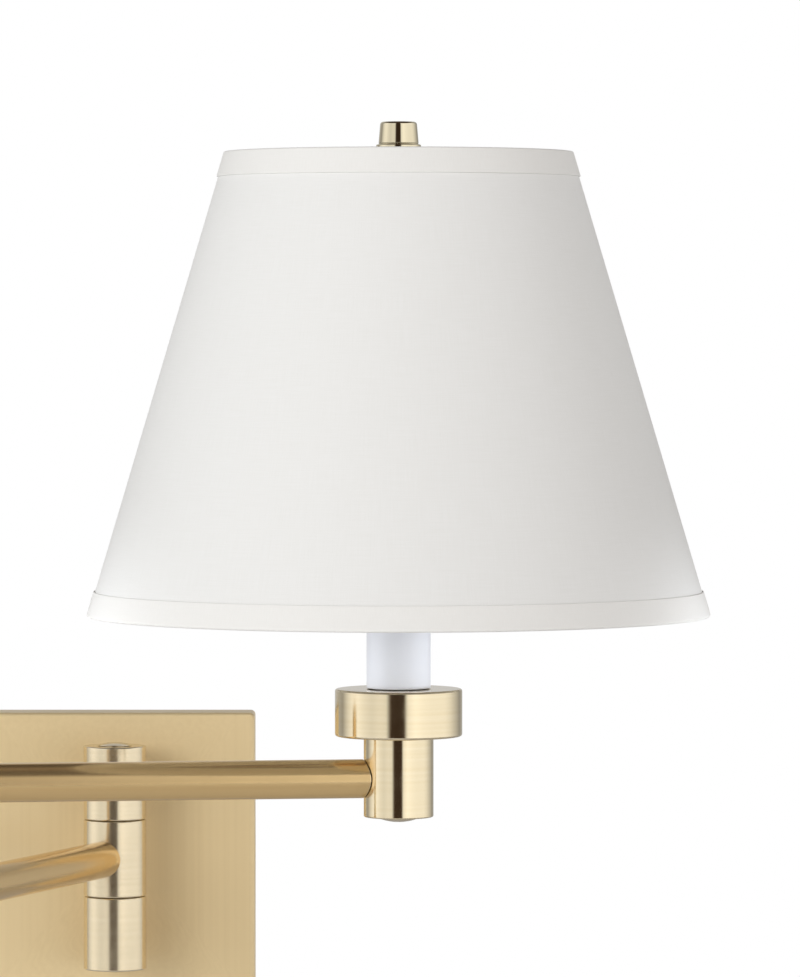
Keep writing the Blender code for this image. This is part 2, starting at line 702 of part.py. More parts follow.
def build_socket():
    """The lamp socket: its cap, insulating body and shell, with the key that turns the lamp on."""
    inside = SOCKET_RADIUS - SOCKET_WALL
    socket_cap = [
        (inside, SOCKET_SEAM),
        (SOCKET_RADIUS, SOCKET_SEAM),
        (0.0150, SOCKET_BOTTOM + 0.004, 0.003),
        (0.0095, SOCKET_BOTTOM, 0.001),
        (NIPPLE_HOLE, SOCKET_BOTTOM),
        (NIPPLE_HOLE, SOCKET_BOTTOM + SOCKET_WALL),
        (0.0090, SOCKET_BOTTOM + SOCKET_WALL),
        (0.0138, SOCKET_BOTTOM + 0.0052),
    ]
    turned("socket_cap", socket_cap, "polished_brass", HUB, ring=True)
    shell = turned(
        "socket_shell",
        ring_corners(SOCKET_RADIUS, inside, SOCKET_SEAM + GAP, SOCKET_TOP),
        "polished_brass",
        HUB,
        ring=True,
    )
    body_bottom = SOCKET_SEAM + 0.002
    body_top = BULB_BASE_BOTTOM - 2 * GAP
    body_radius = inside - GAP
    body = turned(
        "socket_body",
        [(0.0, body_top), (body_radius, body_top), (body_radius, body_bottom), (0.0, body_bottom)],
        "phenolic_black",
        HUB,
    )
    for piece in (shell, body):
        inner_end = flat_to(HUB + Vector((0.0, -0.006)), KEY_Z)
        outer_end = flat_to(HUB + Vector((0.0, -0.030)), KEY_Z)
        hole = rod("key_hole", inner_end, outer_end, KEY_STEM_RADIUS + GAP, "phenolic_black", SMALL_STEPS)
        cut(piece, hole)
    start = flat_to(HUB + Vector((0.0, -0.0075)), KEY_Z)
    neck = 0.016
    key_corners = [
        (0.0, neck + 0.011),
        (0.0026, neck + 0.011, 0.0008),
        (0.0026, neck),
        (KEY_STEM_RADIUS, neck),
        (KEY_STEM_RADIUS, 0.0),
        (0.0, 0.0),
    ]
    key = turned("switch_key", key_corners, "phenolic_black", steps=SMALL_STEPS)
    key.matrix_world = Matrix.Translation(start) @ Matrix.Rotation(math.pi / 2, 4, "X")
    paddle_low = flat_to(HUB + Vector((-0.0012, -0.0345)), KEY_Z - 0.007)
    paddle_high = flat_to(HUB + Vector((0.0012, -0.0255)), KEY_Z + 0.007)
    join(key, box("key_paddle", paddle_low, paddle_high, "phenolic_black"))


def build_bulb():
    """A frosted lamp: a ball that narrows to its screw base."""
    ball_arc = []
    for step in range(BULB_CHORDS + 1):
        angle = BULB_ARC_END * step / BULB_CHORDS
        ball_arc.append((BULB_RADIUS * math.sin(angle), BULB_CENTRE_Z + BULB_RADIUS * math.cos(angle)))
    neck = [
        (BULB_NECK_RADIUS, BULB_NECK_Z),
        (BULB_BASE_RADIUS, BULB_BASE_TOP),
        (BULB_BASE_RADIUS, BULB_BASE_BOTTOM + BULB_BASE_TAPER),
        (BULB_CONTACT_RADIUS, BULB_BASE_BOTTOM + BULB_CONTACT_RISE),
        (BULB_CONTACT_RADIUS, BULB_BASE_BOTTOM),
        (0.0, BULB_BASE_BOTTOM),
    ]
    turned("bulb", ball_arc + neck, "frosted_glass", HUB)


# --- Harp ---------------------------------------------------------------------------------------


def build_harp():
    """The saddle under the socket, the wire bow on its prongs, the ferrules and the threaded stud."""
    leg = HARP_LEG_X
    thick = SADDLE_THICK
    outline = [
        (-leg - thick / 2, SADDLE_Z),
        (leg + thick / 2, SADDLE_Z),
        (leg + thick / 2, PRONG_TOP),
        (leg - thick / 2, PRONG_TOP),
        (leg - thick / 2, SADDLE_Z + thick),
        (-leg + thick / 2, SADDLE_Z + thick),
        (-leg + thick / 2, PRONG_TOP),
        (-leg - thick / 2, PRONG_TOP),
    ]
    saddle = slab("harp_saddle", outline, SADDLE_HALF_DEPTH, "polished_brass")
    saddle.matrix_world = Matrix.Translation(flat_to(HUB, 0.0)) @ Matrix.Rotation(math.pi / 2, 4, "X")
    eye_faces = (flat_to(HUB, SADDLE_Z), flat_to(HUB, SADDLE_Z + thick))
    join(saddle, rod("saddle_eye", *eye_faces, SADDLE_EYE_RADIUS, "polished_brass"))
    bore = (flat_to(HUB, SADDLE_Z - OVERSHOOT), flat_to(HUB, SADDLE_Z + OVERSHOOT))
    cut(saddle, rod("saddle_bore", *bore, NIPPLE_HOLE, "polished_brass", SMALL_STEPS))
    right = [Vector((HUB.x + x, HUB.y, z)) for x, z in HARP_ROUTE]
    left = [Vector((HUB.x - x, HUB.y, z)) for x, z in reversed(HARP_ROUTE)]
    top = Vector((HUB.x, HUB.y, HARP_TOP_Z))
    wire("harp", smooth_path([*right, top, *left]), HARP_WIRE, "polished_brass")
    for side, word in ((-1, "left"), (1, "right")):
        at = HUB + Vector((side * leg, 0.0))
        ferrule_top = FERRULE_BOTTOM + FERRULE_HEIGHT
        corners = ring_corners(FERRULE_RADIUS, FERRULE_BORE, FERRULE_BOTTOM, ferrule_top, EDGE_ROUNDING)
        turned(f"ferrule_{word}", corners, "polished_brass", at, ring=True, steps=SMALL_STEPS)
    flange_bottom = HARP_TOP_Z + HARP_WIRE + GAP
    stud_corners = [
        (0.0, STUD_TOP),
        (STUD_RADIUS, STUD_TOP, EDGE_ROUNDING),
        (STUD_RADIUS, STUD_FLANGE_TOP),
        (STUD_FLANGE_RADIUS, STUD_FLANGE_TOP),
        (STUD_FLANGE_RADIUS, flange_bottom),
        (0.0, flange_bottom),
    ]
    turned("harp_stud", stud_corners, "polished_brass", HUB, steps=SMALL_STEPS)


# --- Shade and finial ---------------------------------------------------------------------------


def cone(height):
    """The shade's outer radius at this height."""
    share = (height - SHADE_BOTTOM) / (SHADE_TOP - SHADE_BOTTOM)
    return SHADE_BOTTOM_RADIUS + (SHADE_TOP_RADIUS - SHADE_BOTTOM_RADIUS) * share


def cone_shell(name, outer_inset, thick, bottom, top, finish):
    """A slice of the cone's wall, this far in from its outer face."""
    inner_inset = outer_inset + thick
    corners = [
        (cone(top) - outer_inset, top),
        (cone(bottom) - outer_inset, bottom),
        (cone(bottom) - inner_inset, bottom),
        (cone(top) - inner_inset, top),
    ]
    turned(name, corners, finish, HUB, ring=True, steps=SHADE_STEPS)


def trim(name, edge, inner_inset, finish):
    """A folded band along one edge of the shade, with a lip over the edge."""
    into_shade = 1 if edge == SHADE_BOTTOM else -1
    band_end = edge + into_shade * TRIM_HEIGHT
    lip = edge + into_shade * TRIM_THICK
    corners = [
        (cone(edge), edge),
        (cone(band_end), band_end),
        (cone(band_end) - TRIM_THICK, band_end),
        (cone(lip) - TRIM_THICK, lip),
        (cone(lip) - inner_inset, lip),
        (cone(edge) - inner_inset, edge),
    ]
    if into_shade > 0:
        corners.reverse()
    turned(name, corners, finish, HUB, ring=True, steps=SHADE_STEPS)


def wire_ring(name, height, finish="zinc_steel"):
    """A round wire ring just inside the shade's liner."""
    radius = cone(height) - RING_INSET
    corners = []
    for side in range(RING_SIDES):
        angle = -2 * math.pi * (side + 0.5) / RING_SIDES
        corners.append((radius + RING_WIRE * math.cos(angle), height + RING_WIRE * math.sin(angle)))
    return turned(name, corners, finish, HUB, ring=True, steps=SHADE_STEPS)


def build_shade():
    """A styrene liner with a fabric face, folded trims, a spider at the top and a ring at the bottom."""
    fabric_inset = TRIM_THICK + GAP
    liner_inset = fabric_inset + FABRIC_THICK + GAP
    inner_inset = liner_inset + LINER_THICK
    bottom = SHADE_BOTTOM + TRIM_THICK + GAP
    top = SHADE_TOP - TRIM_THICK - GAP
    cone_shell("shade_fabric", fabric_inset, FABRIC_THICK, bottom, top, "shade_linen")
    cone_shell("shade_liner", liner_inset, LINER_THICK, bottom, top, "shade_styrene")
    trim("shade_trim_top", SHADE_TOP, inner_inset, "shade_linen")
    trim("shade_trim_bottom", SHADE_BOTTOM, inner_inset, "shade_linen")
    wire_ring("shade_bottom_ring", BOTTOM_RING_Z)
    spider = wire_ring("shade_spider", TOP_RING_Z)
    stud_hole = STUD_RADIUS + 2 * GAP
    washer = ring_corners(SPIDER_WASHER_RADIUS, stud_hole, SPIDER_WASHER_BOTTOM, SPIDER_WASHER_TOP)
    join(spider, turned("washer", washer, "zinc_steel", HUB, ring=True, steps=SMALL_STEPS))
    ring_radius = cone(TOP_RING_Z) - RING_INSET
    washer_middle = (SPIDER_WASHER_BOTTOM + SPIDER_WASHER_TOP) / 2
    for arm in range(SPIDER_ARMS):
        angle = math.pi / 2 + arm * 2 * math.pi / SPIDER_ARMS
        outward = Vector((math.cos(angle), math.sin(angle)))
        route = [
            flat_to(HUB + outward * (SPIDER_WASHER_RADIUS - 0.003), washer_middle + 0.0012),
            flat_to(HUB + outward * 0.030, washer_middle + 0.0016),
            flat_to(HUB + outward * 0.058, TOP_RING_Z - 0.0016),
            flat_to(HUB + outward * ring_radius, TOP_RING_Z),
        ]
        join(spider, wire(f"spider_arm_{arm}", smooth_path(route), RING_WIRE * 0.95, "zinc_steel"))


def build_finial():
    """A turned knob that widens downwards to a flange, bored for the harp's stud."""
    bore = STUD_RADIUS + 2 * GAP
    corners = [
        (0.0, FINIAL_TOP),
        (FINIAL_TOP_RADIUS, FINIAL_TOP, FINIAL_TOP_ROUNDING),
        (FINIAL_SIDE_RADIUS, FINIAL_FLANGE_TOP + FINIAL_COVE, EDGE_ROUNDING),
        (FINIAL_FLANGE_RADIUS, FINIAL_FLANGE_TOP, FINIAL_FLANGE_ROUNDING),
        (FINIAL_FLANGE_RADIUS, FINIAL_FLANGE_BOTTOM, FINIAL_FLANGE_ROUNDING),
        (FINIAL_NECK_RADIUS, FINIAL_FLANGE_BOTTOM - FINIAL_UNDERCUT),
        (FINIAL_NECK_RADIUS, FINIAL_BOTTOM),
        (bore, FINIAL_BOTTOM),
        (bore, FINIAL_BORE_TOP),
        (0.0, FINIAL_BORE_TOP),
    ]
    turned("finial", corners, "polished_brass", HUB)


# --- Wiring -------------------------------------------------------------------------------------


def build_leads():
    """The two-core lead, in one length for each body, meeting end to end on the swing axes."""
    base_route = [
        (-0.016, -0.005, 0.004),
        (-0.015, -0.010, 0.016),
        (-0.007, -0.012, 0.031),
        (0.0, -0.0165, STEM_Z),
        (0.0, -0.022, STEM_Z),
        (0.0, -0.034, STEM_Z),
        (0.0, -0.044, STEM_Z - 0.0003),
        (0.0, POST_Y + 0.0015, STEM_Z - 0.004),
        (0.0, POST_Y, 0.028),
        (0.0, POST_Y, MEET_AT_POST),
    ]
    wire("lead_base", smooth_path(base_route), LEAD_RADIUS, "lead_grey")
    outward = arm_direction(POST, ELBOW)
    length = (ELBOW - POST).length
    inner_route = [flat_to(POST, MEET_AT_POST - GAP)]
    inner_route.append(flat_to(POST + outward * 0.001, 0.005))
    inner_route.append(flat_to(POST + outward * 0.006, 0.0005))
    for share in LEAD_SHARES:
        inner_route.append(flat_to(POST + outward * length * share, 0.0))
    inner_route.append(flat_to(ELBOW - outward * 0.006, 0.001))
    inner_route.append(flat_to(ELBOW - outward * 0.0008, 0.007))
    inner_route.append(flat_to(ELBOW, 0.014))
    inner_route.append(flat_to(ELBOW, MEET_AT_ELBOW))
    wire("lead_inner", smooth_path(inner_route), LEAD_RADIUS, "lead_grey")
    outward = arm_direction(ELBOW, HUB)
    length = (HUB - ELBOW).length
    outer_route = [flat_to(ELBOW, MEET_AT_ELBOW + GAP)]
    outer_route.append(flat_to(ELBOW + outward * 0.001, OUTER_ARM_Z - 0.003))
    outer_route.append(flat_to(ELBOW + outward * 0.006, OUTER_ARM_Z - 0.0005))
    for share in LEAD_SHARES:
        outer_route.append(flat_to(ELBOW + outward * length * share, OUTER_ARM_Z))
    outer_route.append(flat_to(HUB - outward * 0.006, OUTER_ARM_Z + 0.001))
    outer_route.append(flat_to(HUB - outward * 0.0008, OUTER_ARM_Z + 0.006))
    for height in LEAD_RISE:
        outer_route.append(flat_to(HUB, height))
    wire("lead_outer", smooth_path(outer_route), LEAD_RADIUS, "lead_grey")


def settle():
    """Make each piece its finished mesh, smooth where it is round, then drop the cutters."""
    bpy.context.view_layer.update()
    graph = bpy.context.evaluated_depsgraph_get()
    finished = {}
    for piece in collection(PARTS).objects:
        finished[piece] = bpy.data.meshes.new_from_object(piece.evaluated_get(graph))
    for piece, mesh in finished.items():
        piece.modifiers.clear()
        piece.data = mesh
        mesh.shade_smooth()
        mesh.set_sharp_from_angle(angle=SHARP_ANGLE)
    for cutter in list(collection(CUTTERS).objects):
        bpy.data.objects.remove(cutter, do_unlink=True)


def main():
    clear_scene()
    build_bracket()
    build_backplate()
    build_wall_screws()
    build_post()
    arm_tube("inner_arm_tube", POST, POST_RADIUS, ELBOW, BARREL_RADIUS, INNER_ARM_Z)
    build_elbow()
    arm_tube("outer_arm_tube", ELBOW, BARREL_RADIUS, HUB, BARREL_RADIUS, OUTER_ARM_Z)
    build_hub_and_cup()
    build_socket()
    build_bulb()
    build_harp()
    build_shade()
    build_finial()
    build_leads()
    settle()


main()
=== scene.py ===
"""Looks of a swing arm wall sconce: brushed brass plate and arms, a candle sleeve and a hardback shade.

Every sub-assembly is a class. Its fields hold its sizes, and its methods build its pieces and dress them.
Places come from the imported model, so each fine piece lies exactly where its plain solid does.
Metres, +Z up, the wall at y = 0, and the lamp stands out towards -Y.
"""

import json
import logging
import math
from dataclasses import dataclass, replace
from enum import Enum
from typing import Any, Sequence

import bmesh
import bpy
import numpy as np
from mathutils import Matrix, Vector


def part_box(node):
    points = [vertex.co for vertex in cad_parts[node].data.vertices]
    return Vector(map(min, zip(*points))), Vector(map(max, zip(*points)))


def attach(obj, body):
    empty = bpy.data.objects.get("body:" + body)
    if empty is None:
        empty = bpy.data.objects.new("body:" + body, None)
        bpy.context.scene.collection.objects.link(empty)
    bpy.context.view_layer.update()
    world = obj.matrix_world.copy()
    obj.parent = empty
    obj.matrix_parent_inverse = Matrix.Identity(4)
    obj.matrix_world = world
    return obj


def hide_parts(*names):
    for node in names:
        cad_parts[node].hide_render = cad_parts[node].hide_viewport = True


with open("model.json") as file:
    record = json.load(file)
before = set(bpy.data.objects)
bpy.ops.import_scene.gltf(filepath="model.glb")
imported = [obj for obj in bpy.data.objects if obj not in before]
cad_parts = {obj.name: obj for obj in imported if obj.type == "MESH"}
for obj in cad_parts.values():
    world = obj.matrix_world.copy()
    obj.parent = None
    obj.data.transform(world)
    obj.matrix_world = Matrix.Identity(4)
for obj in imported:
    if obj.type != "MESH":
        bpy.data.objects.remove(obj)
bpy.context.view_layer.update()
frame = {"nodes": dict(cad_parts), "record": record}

LOG = logging.getLogger("sconce")
ARC_CHORDS = 6
ROUND_STEPS = 96
SHADE_STEPS = 256
HOLE_STEPS = 32
STEM_HOLE = 0.0066
SCREW_HOLE = 0.0021
WELD = 1e-7
WIRE_END_BULGE = 0.3
GUARD_REACH = 1.25
SHARP_ANGLE = math.radians(34)
UPRIGHT = Matrix.Identity(4)
HANGING = Matrix.Rotation(math.pi, 4, "X")
OUTWARD = Matrix.Rotation(math.pi / 2, 4, "X")

BODY_OF = {node: body for body, nodes in frame["record"]["behaviour"]["bodies"].items() for node in nodes}


# --- Surfaces -----------------------------------------------------------------------------------


@dataclass(frozen=True)
class Corner:
    """A corner of an outline: its distance from the axis, its height, and the radius that rounds it."""

    across: float
    up: float
    rounding: float = 0.0


@dataclass(frozen=True)
class Extent:
    """The box of a plain solid that stands on an upright axis."""

    low: Vector
    high: Vector

    @property
    def axis(self) -> Vector:
        """The middle of the box in plan, at height zero."""
        return Vector((self.centre.x, self.centre.y, 0.0))

    @property
    def radius(self) -> float:
        """Half the box's width."""
        return (self.high.x - self.low.x) / 2

    @property
    def centre(self) -> Vector:
        """The middle of the box."""
        return (self.low + self.high) / 2

    @property
    def foot(self) -> Vector:
        """The middle of the box's underside."""
        return Vector((self.centre.x, self.centre.y, self.low.z))


def extent(node: str) -> Extent:
    """The box of a plain solid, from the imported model.

    Args:
        node: The solid's name.

    Returns:
        Its lowest and highest corners.
    """
    low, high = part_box(node)
    return Extent(low, high)


def rounded_outline(corners: Sequence[Corner], closed: bool) -> tuple[np.ndarray, np.ndarray]:
    """Turn each rounded corner into an arc between its two tangent points, with a guard point beside each.

    The arc's centre lies on the corner's bisector at rounding / sin(half the corner's angle), and its points
    are the spherical blend of the spokes to the two tangent points. The guards, a little along the straight
    runs, keep the shading of the flats flat.

    Args:
        corners: The outline's corners in order.
        closed: Whether the last corner joins the first.

    Returns:
        The points as (distance, height) rows, and for each a wear value that is 1 on arcs and 0 on flats.
    """
    spots = np.array([(corner.across, corner.up) for corner in corners])
    roundings = np.array([corner.rounding for corner in corners])
    if not closed:
        roundings[[0, -1]] = 0.0
    to_before = np.roll(spots, 1, axis=0) - spots
    to_after = np.roll(spots, -1, axis=0) - spots
    to_before /= np.linalg.norm(to_before, axis=1, keepdims=True) + 1e-12
    to_after /= np.linalg.norm(to_after, axis=1, keepdims=True) + 1e-12
    half = np.arccos(np.clip((to_before * to_after).sum(axis=1), -0.9999, 0.9999)) / 2
    runs, wears = [], []
    for spot, radius, before, after, angle in zip(spots, roundings, to_before, to_after, half):
        if radius == 0.0:
            runs.append(spot[None])
            wears.append(np.zeros(1))
            continue
        reach = radius / math.tan(angle)
        bisector = (before + after) / np.linalg.norm(before + after)
        centre = spot + bisector * radius / math.sin(angle)
        first, last = spot + before * reach - centre, spot + after * reach - centre
        turn = math.pi - 2 * angle
        share = np.linspace(0.0, 1.0, ARC_CHORDS + 1)[:, None]
        arc = centre + (np.sin((1 - share) * turn) * first + np.sin(share * turn) * last) / math.sin(turn)
        guards = spot + before * reach * GUARD_REACH, spot + after * reach * GUARD_REACH
        runs.append(np.vstack([guards[0], arc, guards[1]]))
        wears.append(np.concatenate([[0.0], np.ones(ARC_CHORDS + 1), [0.0]]))
    return np.vstack(runs), np.concatenate(wears)


def ringed_piece(
    name: str,
    rings: np.ndarray,
    closed: bool,
    placement: Matrix = UPRIGHT,
    wear: np.ndarray | None = None,
    unwrap: tuple[float, np.ndarray] | None = None,
) -> bpy.types.Object:
    """Skin a stack of rings: quad (i, j) joins ring i to ring i + 1 and column j to column j + 1.

    Rings run down the outer side and columns run anticlockwise seen from above, so the faces point out.
    Rings that shrink to a point on the axis are welded into a pole. The local position of each point is
    kept in the "grain" attribute, for patterns that follow the piece.

    Args:
        name: The piece's name.
        rings: Points as an array of ring by column by xyz, in the piece's own frame.
        closed: Whether the last ring joins the first.
        placement: Where the piece's own frame lies in the model.
        wear: One value a ring, 1 where an edge is rounded.
        unwrap: The length around that the columns cover, and each ring's distance along, both in metres.

    Returns:
        The new object, at the origin with its place in its mesh.
    """
    count, columns = rings.shape[:2]
    local = rings.reshape(-1, 3)
    turn = np.array(placement.to_3x3())
    placed = local @ turn.T + np.array(placement.translation)
    row, column = np.meshgrid(np.arange(count if closed else count - 1), np.arange(columns), indexing="ij")
    below, beside = (row + 1) % count, (column + 1) % columns
    quads = np.stack(
        [row * columns + column, below * columns + column, below * columns + beside, row * columns + beside],
        axis=-1,
    ).reshape(-1, 4)
    mesh = bpy.data.meshes.new(name)
    mesh.from_pydata(placed.tolist(), [], quads.tolist())
    grain = mesh.attributes.new("grain", "FLOAT_VECTOR", "POINT")
    grain.data.foreach_set("vector", local.astype(np.float32).ravel())
    worn = np.zeros(count) if wear is None else wear
    rubbed = mesh.attributes.new("wear", "FLOAT", "POINT")
    rubbed.data.foreach_set("value", np.repeat(worn, columns).astype(np.float32))
    if unwrap is not None:
        around, along = unwrap
        across = around / columns
        u = np.stack([column, column, column + 1, column + 1], axis=-1) * across
        v = np.stack([along[row], along[below], along[below], along[row]], axis=-1)
        layer = mesh.uv_layers.new(name="cloth")
        layer.data.foreach_set("uv", np.stack([u, v], axis=-1).astype(np.float32).ravel())
    form = bmesh.new()
    form.from_mesh(mesh)
    bmesh.ops.remove_doubles(form, verts=form.verts, dist=WELD)
    form.to_mesh(mesh)
    form.free()
    mesh.shade_smooth()
    mesh.set_sharp_from_angle(angle=SHARP_ANGLE)
    piece = bpy.data.objects.new(name, mesh)
    bpy.context.scene.collection.objects.link(piece)
    return piece


def round_angles(steps: int) -> np.ndarray:
    """The angles of a full turn in this many equal steps, the first one zero."""
    return 2 * np.pi * np.arange(steps) / steps


def ringed(reach: np.ndarray, angle: np.ndarray, up: np.ndarray) -> np.ndarray:
    """Rings (r cos a, r sin a, z) from the radius r for each height and angle, and the heights z.

    Args:
        reach: The radius, as height by angle, or as height by one.
        angle: The angles, one a column, or as height by angle.
        up: The heights, one a ring.

    Returns:
        The rings, as height by angle by xyz.
    """
    across, along = reach * np.cos(angle), reach * np.sin(angle)
    return np.stack([across, along, np.broadcast_to(up[:, None], across.shape)], axis=-1)


def turned_rings(outline: np.ndarray, steps: int) -> np.ndarray:
    """Turn an outline about the axis: (r, z) becomes (r cos a, r sin a, z) for each angle a.

    Args:
        outline: Rows of distance and height.
        steps: How many angles a full turn has.

    Returns:
        The rings, as outline point by angle by xyz.
    """
    return ringed(outline[:, :1], round_angles(steps), outline[:, 1])


def turned_piece(
    name: str,
    corners: Sequence[Corner],
    placement: Matrix,
    closed: bool = False,
    steps: int = ROUND_STEPS,
) -> bpy.types.Object:
    """A lathe-turned piece from the corners of its outline, top to bottom down its outer side.

    Args:
        name: The piece's name.
        corners: The outline. A solid starts and ends on the axis, and a ring closes up its bore.
        placement: Where the piece's axis stands.
        closed: Whether it is a ring.
        steps: How many faces go round it.

    Returns:
        The new object.
    """
    outline, wear = rounded_outline(corners, closed)
    return ringed_piece(name, turned_rings(outline, steps), closed, placement, wear)


def swept_rings(path: np.ndarray, radius: np.ndarray, sides: int) -> np.ndarray:
    """Carry a circle along a path, square to it, turning as little as it can (double reflection).

    Args:
        path: The path's points.
        radius: The circle's radius at each point.
        sides: How many points the circle has.

    Returns:
        The rings, as path point by side by xyz.
    """
    along = np.gradient(path, axis=0)
    along /= np.linalg.norm(along, axis=1, keepdims=True)
    helper = np.array([1.0, 0.0, 0.0]) if abs(along[0, 0]) < 0.7 else np.array([0.0, 0.0, 1.0])
    first = np.cross(along[0], helper)
    normals = [first / np.linalg.norm(first)]
    for station in range(len(path) - 1):
        step = path[station + 1] - path[station]
        mirrored = normals[-1] - step * (2 * step @ normals[-1] / (step @ step))
        carried = along[station] - step * (2 * step @ along[station] / (step @ step))
        turn = along[station + 1] - carried
        size = max(turn @ turn, 1e-18)
        normals.append(mirrored - turn * (2 * turn @ mirrored / size))
    normal = np.array(normals)
    side = np.cross(normal, along)
    angle = round_angles(sides)
    spokes = np.cos(angle)[None, :, None] * normal[:, None] + np.sin(angle)[None, :, None] * side[:, None]
    return path[:, None] + radius[:, None, None] * spokes


def swept_piece(name: str, path: np.ndarray, radius: float, sides: int = 20) -> bpy.types.Object:
    """A round wire along a path, with ends rounded over by three shrinking rings.

    Args:
        name: The piece's name.
        path: The wire's middle line.
        radius: The wire's radius.
        sides: How many faces go round it.

    Returns:
        The new object.
    """
    bow = np.radians([90.0, 60.0, 30.0, 0.0])
    bulge = WIRE_END_BULGE * radius * np.sin(bow)[:, None]
    head_way = (path[0] - path[1]) / np.linalg.norm(path[0] - path[1])
    tail_way = (path[-1] - path[-2]) / np.linalg.norm(path[-1] - path[-2])
    head = path[0] + head_way * bulge
    tail = path[-1] + tail_way * bulge[::-1]
    whole = np.vstack([head, path[1:-1], tail])
    thin = np.maximum(np.cos(bow), 0.0) * radius
    reach = np.concatenate([thin, np.full(len(path) - 2, radius), thin[::-1]])
    reach[[0, -1]] = 0.0
    return ringed_piece(name, swept_rings(whole, reach, sides), False)


def smooth_path(route: Sequence[Sequence[float]], per_span: int) -> np.ndarray:
    """A smooth curve through the route's points (Catmull-Rom, one cubic a span).

    Args:
        route: The points that it passes through.
        per_span: How many points each span gets.

    Returns:
        The curve's points.
    """
    spots = np.array(route, dtype=float)
    padded = np.vstack([2 * spots[0] - spots[1], spots, 2 * spots[-1] - spots[-2]])
    before, here, there, beyond = padded[:-3], padded[1:-2], padded[2:-1], padded[3:]
    t = (np.arange(per_span) / per_span)[None, :, None]
    bend = (2 * before - 5 * here + 4 * there - beyond)[:, None]
    twist = (3 * here - before - 3 * there + beyond)[:, None]
    spans = 0.5 * (2 * here[:, None] + (there - before)[:, None] * t + bend * t**2 + twist * t**3)
    return np.vstack([spans.reshape(-1, 3), spots[-1]])


def drill(piece: bpy.types.Object, start: Vector, end: Vector, radius: float) -> None:
    """Cut a round hole through a piece and keep the cut mesh.

    Args:
        piece: The piece to drill.
        start: A point on the hole's axis, outside the wall.
        end: The hole's far end.
        radius: The hole's radius.
    """
    along = end - start
    turn = along.to_track_quat("Z", "Y").to_matrix().to_4x4()
    corners = [Corner(0.0, along.length), Corner(radius, along.length), Corner(radius, 0.0), Corner(0.0, 0.0)]
    bit = turned_piece("drill_bit", corners, standing(start, turn), steps=HOLE_STEPS)
    hole = piece.modifiers.new("hole", "BOOLEAN")
    hole.operation = "DIFFERENCE"
    hole.solver = "EXACT"
    hole.object = bit
    bpy.context.view_layer.update()
    cut = bpy.data.meshes.new_from_object(piece.evaluated_get(bpy.context.evaluated_depsgraph_get()))
    piece.modifiers.clear()
    piece.data = cut
    cut.set_sharp_from_angle(angle=SHARP_ANGLE)
    bpy.data.objects.remove(bit, do_unlink=True)


def standing(axis: Vector, turn: Matrix = UPRIGHT) -> Matrix:
    """The placement of a piece whose own frame is turned so and stands at this point."""
    return Matrix.Translation(axis) @ turn


# --- Shared shader effects ----------------------------------------------------------------------


def put(tree: bpy.types.NodeTree, kind: str, inputs: dict[Any, Any] | None = None, **settings: Any) -> Any:
    """Add a shader node, set it up and wire its inputs.

    Args:
        tree: The node tree.
        kind: The node's type name.
        inputs: For each input, a socket to link from or a value to set.
        **settings: Properties of the node.

    Returns:
        The new node.
    """
    made = tree.nodes.new(kind)
    for key, value in settings.items():
        setattr(made, key, value)
    for key, value in (inputs or {}).items():
        if isinstance(value, bpy.types.NodeSocket):
            tree.links.new(value, made.inputs[key])
        else:
            made.inputs[key].default_value = value
    return made


def maths(tree: bpy.types.NodeTree, how: str, first: Any, second: Any = 0.0) -> bpy.types.NodeSocket:
    """The socket of a sum, product or the like of two numbers; how is the node's word for it."""
    return put(tree, "ShaderNodeMath", {0: first, 1: second}, operation=how).outputs[0]


def noise(tree: bpy.types.NodeTree, where: Any, scale: Any, detail: float = 2.0, bent: float = 0.0) -> Any:
    """The socket of soft noise at a position."""
    inputs = {"Vector": where, "Scale": scale, "Detail": detail, "Distortion": bent}
    return put(tree, "ShaderNodeTexNoise", inputs).outputs[0]


def stretched(tree: bpy.types.NodeTree, where: Any, shares: Any) -> bpy.types.NodeSocket:
    """The socket of a position multiplied by one share for each direction."""
    return put(tree, "ShaderNodeVectorMath", {0: where, 1: shares}, operation="MULTIPLY").outputs[0]


def spread(
    tree: bpy.types.NodeTree,
    value: Any,
    source: tuple[float, float] = (0.0, 1.0),
    target: tuple[float, float] = (0.0, 1.0),
    soft: bool = False,
) -> bpy.types.NodeSocket:
    """Map a number from one range to another, clamped.

    Args:
        tree: The node tree.
        value: The number's socket.
        source: The range that it comes from.
        target: The range that it goes to.
        soft: Whether it eases in and out.

    Returns:
        The mapped number's socket.
    """
    ends = ("From Min", "From Max", "To Min", "To Max")
    inputs = {"Value": value, **dict(zip(ends, source + target))}
    shape = "SMOOTHSTEP" if soft else "LINEAR"
    return put(tree, "ShaderNodeMapRange", inputs, interpolation_type=shape).outputs[0]


def bump(tree: bpy.types.NodeTree, height: Any, strength: float, distance: float) -> bpy.types.NodeSocket:
    """The socket of a bump normal from a height of so many metres."""
    inputs = {"Strength": strength, "Distance": distance, "Height": height}
    return put(tree, "ShaderNodeBump", inputs).outputs[0]


def blend_colour(tree: bpy.types.NodeTree, share: Any, plain: Any, other: Any) -> bpy.types.NodeSocket:
    """Mix two colours by a mask.

    Args:
        tree: The material's node tree.
        share: The mask, as a socket.
        plain: The colour where the mask is 0, a socket or an rgb triple.
        other: The colour where it is 1, as an rgb triple.

    Returns:
        The mixed colour's socket.
    """
    start = plain if isinstance(plain, bpy.types.NodeSocket) else (*plain, 1.0)
    return put(tree, "ShaderNodeMix", {0: share, 6: start, 7: (*other, 1.0)}, data_type="RGBA").outputs[2]


class Effect(Enum):
    """The shader effects that the finishes share."""

    GRAIN = "brushed_grain"
    MARKS = "handling_marks"
    WEAR = "edge_wear"
    WEAVE = "plain_weave"
    SKIN = "moulded_skin"


